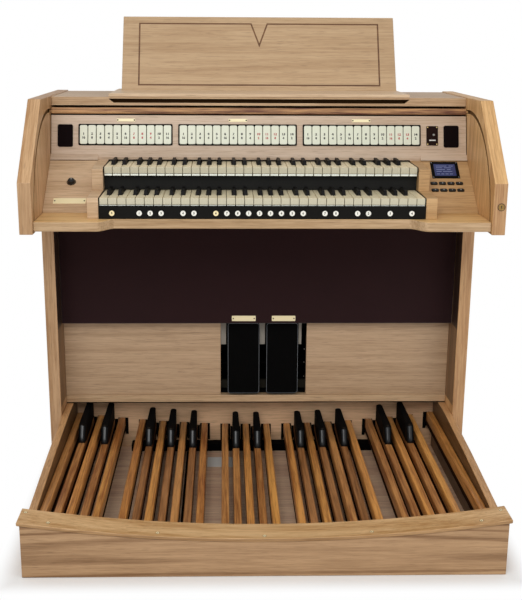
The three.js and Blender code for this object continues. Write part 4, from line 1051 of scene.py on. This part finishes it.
def heelFixings():
    # brass cup washers with a sunk screw in each, let into the heel rail
    look, cups, heads = heelScrews, bmesh.new(), bmesh.new()
    r, cup = look["radius"], look["cup"]
    washer = [(r + 0.4, 0.1), (r + 0.9, 1.1), (cup - 0.8, 1.1), (cup, 0.2), (cup, -0.6), (r + 0.4, -0.6)]
    shadow = [(cup, -0.5), (cup, 0.25), (cup + 1.0, 0.25), (cup + 1.0, -0.5)]
    head = [(r, -0.5), (r, 0.1), (r * 0.7, 0.5), (r * 0.25, 0.6)]
    for x, back in zip(look["places"], look["fromFront"]):
        slope = math.atan(2 * pedalLook["curve"] * x / pedalLook["reach"] ** 2)
        place = Matrix.Translation((x, look["railFront"] + back, look["railTop"] + rise(x)))
        place = place @ Matrix.Rotation(-slope, 4, "Y") @ Matrix.Rotation(math.radians(-90), 4, "X")
        addHollow(cups, washer, place)
        addHollow(cups, shadow, place, coat=1)
        addTurned(heads, head, place, 20)
        for wide, high, out in ((2.8, 0.7, 0.56), (0.7, 2.8, 0.57)):
            addPlate(heads, place, wide, high, 0.06, 0.3, out, 0.02, coat=1)
    asPiece("heelScrewCups", cups, [plateCream, lockDark])
    asPiece("heelScrews", heads, [lockBrass, markDark])


heelFixings()

toeTrim = {"feltWide": 5.4, "shift": -4.0, "slotSide": 10.4, "face": 287.0, "slotLow": 32.0, "slotTop": 86.0}


def toeBoardTrim():
    # felt round the slots that the pedals' tongues run into, wider on the side towards the middle: the extra black
    # is painted shade for the inside of the slots
    look, boxes = toeTrim, []
    front, back, outer = look["face"] - 0.5, look["face"] + 0.2, look["slotSide"] + look["feltWide"]
    for name, x in pedalPlaces.items():
        drop = pedalLook["woodDrop"] if name.endswith("s") else 0
        bottom, top = look["slotLow"] + rise(x), look["slotTop"] - drop + rise(x)
        middle = x + look["shift"] * x / pedalLook["reach"]
        for side in (-1, 1):
            near, far = sorted((x + side * look["slotSide"], middle + side * outer))
            boxes.append(((near, front, bottom), (far, back, top)))
        boxes.append(((middle - outer, front, top), (middle + outer, back, top + 1.4)))
    asPiece("slotFelts", formOf(addBlocks, boxes), feltBlack, slot="black_frame")


toeBoardTrim()
strip("dustBoard")
strip("floorFelt")

# swell shoes: body with a raised rim and fine ribs between; the rim's light grey is a painted highlight
shoeLook = {
    "wide": 98.0, "foot": (211.6, 216.8), "head": (228.0, 438.0), "thick": 16.0, "corner": 9.0, "edge": 2.4,
    "rim": 2.6, "rimHigh": 0.9, "ribs": 23, "ribRadius": 0.8, "centres": {"left": -41.0, "right": 77.0},
    "pivot": (262.0, 300.0), "hub": 12.0, "web": (30.0, 42.0), "webHalf": 40.0,
}


def swellShoes():
    look = shoeLook
    (footY, footZ), (headY, headZ), (pivotY, pivotZ) = look["foot"], look["head"], look["pivot"]
    lean = math.degrees(math.atan2(headY - footY, headZ - footZ))
    length = math.hypot(headY - footY, headZ - footZ)
    wide, thick, corner, rim, hub = look["wide"], look["thick"], look["corner"], look["rim"], look["hub"]
    for side, x in look["centres"].items():
        node, name = "swell_shoe_" + side, "swellShoe" + side.capitalize()
        plane = tilted(x, look["foot"], lean)
        middle = moved(plane, 0, length / 2)
        form = formOf(addPlate, middle, wide, length, thick, corner, -thick, look["edge"])
        back = (plane @ Vector((0, thick - 1, 0))).y
        web = [(back + 3, pivotZ + look["webHalf"]), (pivotY, pivotZ + hub), (pivotY + hub, pivotZ),
               (pivotY, pivotZ - hub), (back, pivotZ - look["webHalf"])]
        for reach in (-1, 1):
            near, far = sorted(x + reach * end for end in look["web"])
            addOutline(form, 0, near, far, web, 1.0)
        asPiece(name, form, rubber, node + "_body", "shoe_rubber", (node,))
        form = formOf(addRim, middle, wide - 2.4, length - 2.4, corner - 1.2, corner - 3.4, rim,
                      look["rimHigh"], -1.0)
        asPiece(name + "Rim", form, shoeEdge, node + "_body", "shoe_rubber", edge=0.35)
        room = wide - 2 * rim - 10.0
        ribs = grow(name + "Ribs", ribsTree, {
            "Count": look["ribs"], "Pitch": room / (look["ribs"] - 1) * mm, "Rib Radius": look["ribRadius"] * mm,
            "Rib Length": (length - 26) * mm, "Finish": rubber})
        ribs.data.transform(inMetres(moved(plane, -room / 2, 13, -0.45)))
        join(ribs, node + "_body", "shoe_rubber")


swellShoes()
bracketLook = {
    "spans": [(-111.5, -94.5), (6.0, 25.0), (128.0, 137.0)],
    "leaves": [((248.0, 364.0), (250.0, 471.6)), ((248.0, 469.6), (268.0, 471.6))],
    "screws": [(146, 242.2, 262), (146, 242.2, 308), (146, 242.2, 350)],
}
boxes = [((left, *low), (right, *high)) for left, right in bracketLook["spans"]
         for low, high in bracketLook["leaves"]]
asPiece("shoeBrackets", formOf(addBlocks, boxes, 0.4), bracketGrey, slot="steel")
strip("boxSill")
screws("boxScrews", bracketLook["screws"], 1.6, 0.7, 0, steel)
print("shoes done")


# small fittings
brassPlates = {
    "tabs": [(-374.6, 51.5, 8.2), (-61.1, 52.0, 8.2), (286.0, 52.0, 8.2)], "tabUp": 104.6,
    "cloth": [(-41.6, 71.3), (77.8, 70.7)], "clothZ": 462.9, "clothHigh": 16.6, "clothY": 189.0,
    "name": (-516.2, 88.0, 43.2, 20.4),
}


def fixings(plane, x, up, out, across, upward=0.0):
    # screw places at both ends of a plate, or at its four corners
    return [plane @ Vector((x + a * across, -out, up + b * upward))
            for a in (-1, 1) for b in ((-1, 1) if upward else (0,))]


def plates():
    look, form, tiny, small = brassPlates, bmesh.new(), [], []
    for x, wide, high in look["tabs"]:
        addPlate(form, moved(stopPlane, x, look["tabUp"]), wide, high, 0.8, 0.8)
        tiny += fixings(stopPlane, x, look["tabUp"], 0.8, wide / 2 - 2.6)
    upright = Matrix.Translation((0, look["clothY"], look["clothZ"]))
    for x, wide in look["cloth"]:
        addPlate(form, moved(upright, x, 0), wide, look["clothHigh"], 1.0, 2.0)
        small += fixings(upright, x, 0, 1.0, wide / 2 - 4.4)
    x, wide, up, high = look["name"]
    addPlate(form, moved(controlPlane, x, up), wide, high, 0.9, 1.2)
    ends = fixings(controlPlane, x, up, 0.9, wide / 2 - 4.2)
    asPiece("brassPlates", form, plateCream, angle=30)
    screws("tabPlateScrews", tiny, 2.0, 0.6, -tabLook["lean"], platePlum)
    screws("clothPlateScrews", small, 1.9, 0.7, 0, platePlum)
    screws("namePlateScrews", ends, 2.0, 0.8, -controlLook["lean"], platePlum)


plates()

panelPieces = {
    "dark": [(-544.0, 42.4, 63.0), (540.3, 42.4, 61.8)], "darkUp": 60.2, "darkRound": 5.0,
    "brown": (486.9, 33.0, 55.0), "brownUp": 62.6, "brownRound": 2.0,
    "toggle": [(3.2, 1.2), (3.2, 2.6), (1.3, 3.0), (1.5, 7.5), (1.9, 10.0), (1.2, 11.2)], "toggleLean": 18.0,
    "knob": (-518.0, 114.5), "knobRadius": 10.4, "knobHigh": 9.5, "screen": (515.6, 77.0, 163.0, 64.0),
    # rows of bars on the screen: height, then (left, length) of each bar
    "menu": [(15.5, [(-24, 30), (12, 12)]), (8.5, [(-24, 18), (-2, 20)]), (1.5, [(-24, 24), (6, 10)]),
             (-5.5, [(-24, 14), (-6, 26)]), (-15.5, [(-24, 8), (-12, 8), (0, 8), (12, 8)])],
    "bezel": 8.6, "button": (18.0, 10.0, 3.0), "buttonFirst": 478.7, "buttonPitch": 23.5,
    "buttonRows": [85.7, 111.7],
}


def panelPlates():
    look, form = panelPieces, bmesh.new()
    for x, wide, high in look["dark"]:
        place, corner = moved(stopPlane, x, look["darkUp"]), look["darkRound"]
        addPlate(form, place, wide, high, 1.4, corner, edge=0.6)
        addRim(form, place, wide, high, corner, corner - 1.4, 1.6, 0.9, 1.3)
    asPiece("darkPlates", form, darkPlate, slot="black_plastic")
    (x, wide, high), up = look["brown"], look["brownUp"]
    form = formOf(addPlate, moved(stopPlane, x, up), wide, high, 1.5, look["brownRound"], edge=0.5)
    asPiece("brownPlate", form, platePlum, slot="black_plastic")
    corners = fixings(stopPlane, x, up, 1.5, wide / 2 - 3.6, high / 2 - 3.6)
    screws("brownPlateScrews", corners, 1.9, 0.7, -tabLook["lean"], brass)
    hub = moved(stopPlane, x + 4, up + 3) @ Matrix.Rotation(math.radians(look["toggleLean"]), 4, "X")
    asPiece("toggle", formOf(addTurned, look["toggle"], hub, 14), steel, slot="steel")
    form = formOf(addPlate, moved(stopPlane, x + 0.5, up - 13), 18.0, 3.4, 0.35, 0.5, 1.5, 0.1)
    asPiece("brownPlateMark", form, markPale)


def powerKnob():
    # knob with its pointer line
    look = panelPieces
    r, high, place = look["knobRadius"], look["knobHigh"], moved(controlPlane, *look["knob"])
    outline = [(r * 0.8, 0.4), (r, 0.5), (r, 2.2), (r * 0.93, 3.0), (r * 0.86, high - 2.0),
               (r * 0.76, high - 0.6), (r * 0.6, high), (r * 0.3, high - 0.3)]
    form = formOf(addTurned, outline, place, 36)
    asPiece("powerKnob", form, knobBlack, "power_knob_body", "black_plastic", ("power_knob",))
    form = formOf(addPlate, moved(place, 0, 3.6), 1.4, 5.6, 0.25, 0.4, high - 0.05, 0.08)
    asPiece("knobPointer", form, markPale, "power_knob_body")
    collar = [(r + 0.6, 0.0), (r + 0.6, 0.5), (r + 1.9, 0.5), (r + 2.2, 0.0)]
    asPiece("knobCollar", formOf(addHollow, collar, place, 36), frameBlack, slot="black_frame")


def display():
    # bezel, glass, bars and corner screws
    look, form = panelPieces, bmesh.new()
    (x, wide, up, high), bezel = look["screen"], look["bezel"]
    middle = moved(controlPlane, x, up)
    rim = formOf(addRim, middle, wide, high, 1.6, 0.8, bezel, 2.0)
    asPiece("displayBezel", rim, frameBlack, slot="black_frame", edge=0.5)
    glass = formOf(addPlate, middle, wide - 2 * bezel + 0.6, high - 2 * bezel + 0.6, 1.1, 0.4, edge=0.2)
    asPiece("displayGlass", glass, screenBlue)
    for up, bars in look["menu"]:
        for left, long in bars:
            addPlate(form, moved(middle, left + long / 2, up), long, 2.2, 0.12, 0.4, 1.1, 0.04)
    asPiece("displayBars", form, screenLit)
    corners = fixings(middle, 0, 0, 2.0, wide / 2 - 3.4, high / 2 - 3.4)
    screws("displayScrews", corners, 1.5, 0.5, -controlLook["lean"], steel)


def menuButtons():
    # each button in its own shallow collar
    look, form = panelPieces, bmesh.new()
    wide, high, proud = look["button"]
    columns = [look["buttonFirst"] + n * look["buttonPitch"] for n in range(4)]
    spots = [controlPlane @ Vector((x, 0, row)) for row in look["buttonRows"] for x in columns]
    turn = Matrix.Rotation(math.radians(-controlLook["lean"]), 4, "X")
    button = formOf(addPlate, turn, wide - 1.2, high - 1.2, proud + 3, 3.6, -3.0, 0.9)
    repeatShape("menuButtons", button, spots, knobBlack, "menu_buttons_body", "black_plastic", ("menu_buttons",))
    collar = formOf(addRim, turn, wide + 2.0, high + 2.0, 4.6, 3.9, 1.4, 0.9)
    repeatShape("buttonCollars", collar, spots, frameBlack, slot="black_frame")
    for n, row in enumerate(look["buttonRows"]):
        for column, x in enumerate(columns):
            addNumber(form, str(column + 1 + 4 * (1 - n)), 4.6, moved(controlPlane, x, row, proud), 0.06)
    asPiece("buttonNumbers", form, markPale, "menu_buttons_body", angle=60)


panelPlates()
powerKnob()
display()
menuButtons()

# lock on the right arm's front face
lockLook = {"place": (605.0, -189.0, 861.6), "rim": 9.2, "core": 6.4}


def lock():
    place, rim, core = Matrix.Translation(lockLook["place"]), lockLook["rim"], lockLook["core"]
    form = bmesh.new()
    addHollow(form, [(core + 0.2, -0.4), (core + 0.2, 0.8), (rim - 1.0, 1.3), (rim, 0.7), (rim, -0.4)], place, 32)
    addTurned(form, [(core, -0.6), (core, 0.5), (core - 0.6, 0.9)], place, 32)
    addHollow(form, [(rim - 1.2, -0.4), (rim - 1.2, 1.5), (rim + 0.8, 1.0), (rim + 0.8, -0.4)], place, 32, 1)
    asPiece("lockRing", form, [lockBrass, lockDark])
    form = formOf(addPlate, place, 1.5, 7.6, 0.3, 0.6, 0.85, 0.08)
    addPlate(form, moved(place, 0, 1.2), 3.0, 3.0, 0.3, 1.4, 0.85, 0.08)
    asPiece("lockKeyhole", form, markDark)


lock()

# dark line let into the music desk's face: a rectangle whose top dips to a point
inlayLook = {
    "wide": 4.5, "high": 0.25, "foot": (349.5, 1122.6), "lean": 29.3,
    "corners": [(-354.0, 18.4), (365.8, 18.4), (367.0, 221.8), (31.2, 221.8), (6.4, 150.0), (-18.0, 221.8),
                (-355.0, 221.8)],
}


def deskInlay():
    look, inner, outer = inlayLook, [], []
    corners = [Vector(corner) for corner in look["corners"]]
    for before, here, after in zip(corners[-1:] + corners, corners, corners[1:] + corners[:1]):
        a, b = (here - before).normalized(), (after - here).normalized()
        side = (Vector((-a.y, a.x)) + Vector((-b.y, b.x))).normalized()
        side *= look["wide"] / 2 / max(side.dot(Vector((-a.y, a.x))), 0.3)
        outer.append(here + side)
        inner.append(here - side)
    plane, high = tilted(0, look["foot"], look["lean"]), look["high"]
    rings = layered(plane, ((inner, -0.3), (outer, -0.3), (outer, high), (inner, high)))
    asPiece("deskInlay", formOf(addRings, rings, closed=True), inlayWood, "music_desk_body", "light_oak")


deskInlay()
print("fittings done")


# roll-top: slats on a cloth back and a moulded lead rail
rollLook = {
    "axis": (126.0, 790.0), "radius": 287.4, "slats": 18, "step": 5.1, "first": 96.7, "tongue": 590.0,
    "rail": 584.0, "thick": 8.0, "railRadii": (279.8, 296.8), "railTurn": 4.4, "gap": 0.16, "clothIn": 6.0,
}


def rollTop():
    look, gap = rollLook, math.radians(rollLook["gap"])
    y0, z0 = look["axis"]
    inner, outer = look["radius"] - look["thick"] / 2, look["radius"] + look["thick"] / 2
    half, tongue, rail = math.radians(look["step"] / 2), look["tongue"], look["rail"]
    stands = ("rolltop_body", "light_oak", ("rolltop",))

    def spot(radius, turn):
        return (-radius * math.cos(turn), radius * math.sin(turn))

    def arc(inside, outside, span, parts):
        turns = [math.radians(look["first"] + span * n / parts) for n in range(parts + 1)]
        edge = [spot(outside, t) for t in turns] + [spot(inside, t) for t in reversed(turns)]
        return [(y0 + a, z0 + b) for a, b in edge]
    slat = [spot(inner, -half + gap), spot(outer - 1.2, -half + gap), spot(outer, -half * 0.55),
            spot(outer, half * 0.55), spot(outer - 1.2, half - gap), spot(inner, half - gap)]
    made = growShape("rollSlats", roundAxisTree, "Slat", formOf(addOutline, 0, -tongue, tongue, slat, 0.6), {
        "Count": look["slats"], "First Angle": -math.radians(look["first"] + look["step"] / 2),
        "Step": -math.radians(look["step"]), "Finish": rollWood})
    made.data.transform(Matrix.Translation(scaled(0, y0, z0)))
    join(made, *stands)
    form = formOf(addOutline, 0, -rail, rail, arc(*look["railRadii"], look["railTurn"], 4), 1.8, 3)
    asPiece("leadRail", form, leadWood, *stands)
    back = arc(inner - 0.2, inner + 0.5, look["step"] * look["slats"], 36)
    form = formOf(addOutline, 0, look["clothIn"] - rail, rail - look["clothIn"], back)
    asPiece("rollCloth", form, cloth, "rolltop_body", "speaker_cloth", ("rolltop",))


rollTop()

# back panel's screws and the mains inlet
backLook = {"face": 499.9, "edge": 14.0, "half": 584.7, "low": 187.0, "high": 1089.7, "screwRadius": 3.4}


def backScrews():
    look, points = backLook, []
    half, face = look["half"] - look["edge"], look["face"]
    low, high = look["low"] + look["edge"], look["high"] - look["edge"]
    for n in range(6):
        x = 2 * half * n / 5 - half
        points += [(x, face, low), (x, face, high)]
    for n in range(1, 5):
        z = low + (high - low) * n / 5
        points += [(-half, face, z), (half, face, z)]
    screws("backScrews", points, look["screwRadius"], 0.5, 180, steel)


backScrews()
strip("ventFilter")

inletLook = {
    "x": 330.0, "z": 255.3, "wide": 52.0, "high": 34.0, "bore": 26.0, "deep": 13.4, "pinWide": 2.0,
    "pins": [(-7.0, -1.0), (0.0, 1.2), (7.0, -1.0)], "pinHigh": 4.0, "screw": 20.0,
}


def mainsInlet():
    look, face = inletLook, backLook["face"]
    x, z, bore, wide, high = look["x"], look["z"], look["bore"], look["pinWide"] / 2, look["pinHigh"] / 2
    place = Matrix.Translation((x, face, z)) @ Matrix.Rotation(math.pi, 4, "Z")
    form = formOf(addRim, place, look["wide"] - 1.0, look["high"] - 1.0, 2.0, 1.2, 1.6, 0.5)
    addRim(form, place, bore + 4.0, bore / 2 + 4.0, 2.6, 1.0, 1.8, 0.5)
    asPiece("inletRim", form, knobBlack, slot="black_plastic")
    back, front = face - look["deep"] + 0.1, face - 2.5
    boxes = [((x + across - wide, back, z + up - high), (x + across + wide, front, z + up + high))
             for across, up in look["pins"]]
    asPiece("inletPins", formOf(addBlocks, boxes, 0.3), brass)
    screws("inletScrews", [(x - look["screw"], face, z), (x + look["screw"], face, z)], 2.2, 0.5, 180, steel)


mainsInlet()
print("roll-top and back done")


# floor, lights and camera
floorLook = {"reach": (0.60, 0.51), "fade": 0.07, "half": (7.0, 6.0), "low": -0.0006}
studio = Finish("studioFloor", "f6f6f5", 0.9)
spot = studio.node("TexCoord", out=3)
sides = [studio.node("SeparateXYZ", inputs={"Vector": spot}, out=n) for n in range(2)]
away = [side.of("ABSOLUTE") - reach for side, reach in zip(sides, floorLook["reach"])]
far = studio.band(away[0].most(away[1]), 0.0, floorLook["fade"])
rays = [studio.node("LightPath", out=n) for n in (0, 3, 6)]
white = studio.node("Emission", inputs={"Color": (1, 1, 1, 1), "Strength": 1.0})
plainFloor = Wire(studio.tree, studio.shader.outputs[0])
factor = far * rays[0].most(rays[1]).most(rays[2])
blend = studio.node("MixShader", inputs={0: factor, 1: plainFloor, 2: white})
connect(studio.tree, studio.tree.nodes["Material Output"].inputs["Surface"], blend)
floorMesh = bpy.data.meshes.new("studioFloor")
x, y = floorLook["half"]
floorCorners = [(a * x, b * y, floorLook["low"]) for a, b in ((-1, -1), (1, -1), (1, 1), (-1, 1))]
floorMesh.from_pydata(floorCorners, [], [(0, 1, 2, 3)])
floorMesh.materials.append(studio.material)
floor = placed("studioFloor", floorMesh)

world = bpy.data.worlds.new("softRoom")
bpy.context.scene.world = world
world.use_nodes = True
sky = Nodes(world.node_tree, "ShaderNode")
rays = [sky.node("LightPath", out=socket) for socket in ("Is Camera Ray", "Is Transmission Ray")]
level = sky.node("MapRange", inputs={"Value": rays[0].most(rays[1]), "To Min": 0.60, "To Max": 1.0})
background = sky.tree.nodes["Background"]
connect(sky.tree, background.inputs["Strength"], level)
background.inputs["Color"].default_value = (1, 1, 1, 1)

# place, aim, size in metres and power in watts
lamps = {
    "keyLamp": ((-1.7, -3.2, 3.4), (0, 0, 0.8), 2.4, 36.0),
    "fillLamp": ((2.6, -2.6, 2.2), (0, 0, 0.7), 2.6, 20.0),
    "frontLamp": ((-0.2, -3.0, 2.7), (0, -0.1, 0.1), 1.4, 26.0),
}
for name, (place, aim, size, power) in lamps.items():
    lamp = bpy.data.lights.new(name, "AREA")
    lamp.shape, lamp.size, lamp.energy = "SQUARE", size, power
    made = placed(name, lamp)
    made.location = place
    made.rotation_euler = (Vector(aim) - Vector(place)).to_track_quat("-Z", "Y").to_euler()

cameraLook = {
    "place": (-0.0997, -2.70615, 1.2749), "pitch": 0.2550463, "yaw": 0.0233325, "roll": 0.0052331,
    "lens": 60.3, "shift": 0.02333, "sensor": 36.0, "clip": (0.05, 60.0),
}
lensData = bpy.data.cameras.new("photoView")
lensData.sensor_fit, lensData.sensor_height, lensData.sensor_width = "VERTICAL", *[cameraLook["sensor"]] * 2
lensData.lens, lensData.shift_x = cameraLook["lens"], cameraLook["shift"]
lensData.clip_start, lensData.clip_end = cameraLook["clip"]
viewer = placed("photoView", lensData)
pitch, yaw, roll = cameraLook["pitch"], cameraLook["yaw"], cameraLook["roll"]
ahead = Vector((math.sin(yaw) * math.cos(pitch), math.cos(yaw) * math.cos(pitch), -math.sin(pitch)))
flat = Vector((math.cos(yaw), -math.sin(yaw), 0))
steep = flat.cross(ahead)
right = flat * math.cos(roll) + steep * math.sin(roll)
upward = steep * math.cos(roll) - flat * math.sin(roll)
turn = Matrix((right, upward, -ahead)).transposed().to_4x4()
viewer.matrix_world = Matrix.Translation(cameraLook["place"]) @ turn
bpy.context.scene.camera = viewer
bpy.context.scene.view_settings.view_transform = "Standard"
print("stage ready")
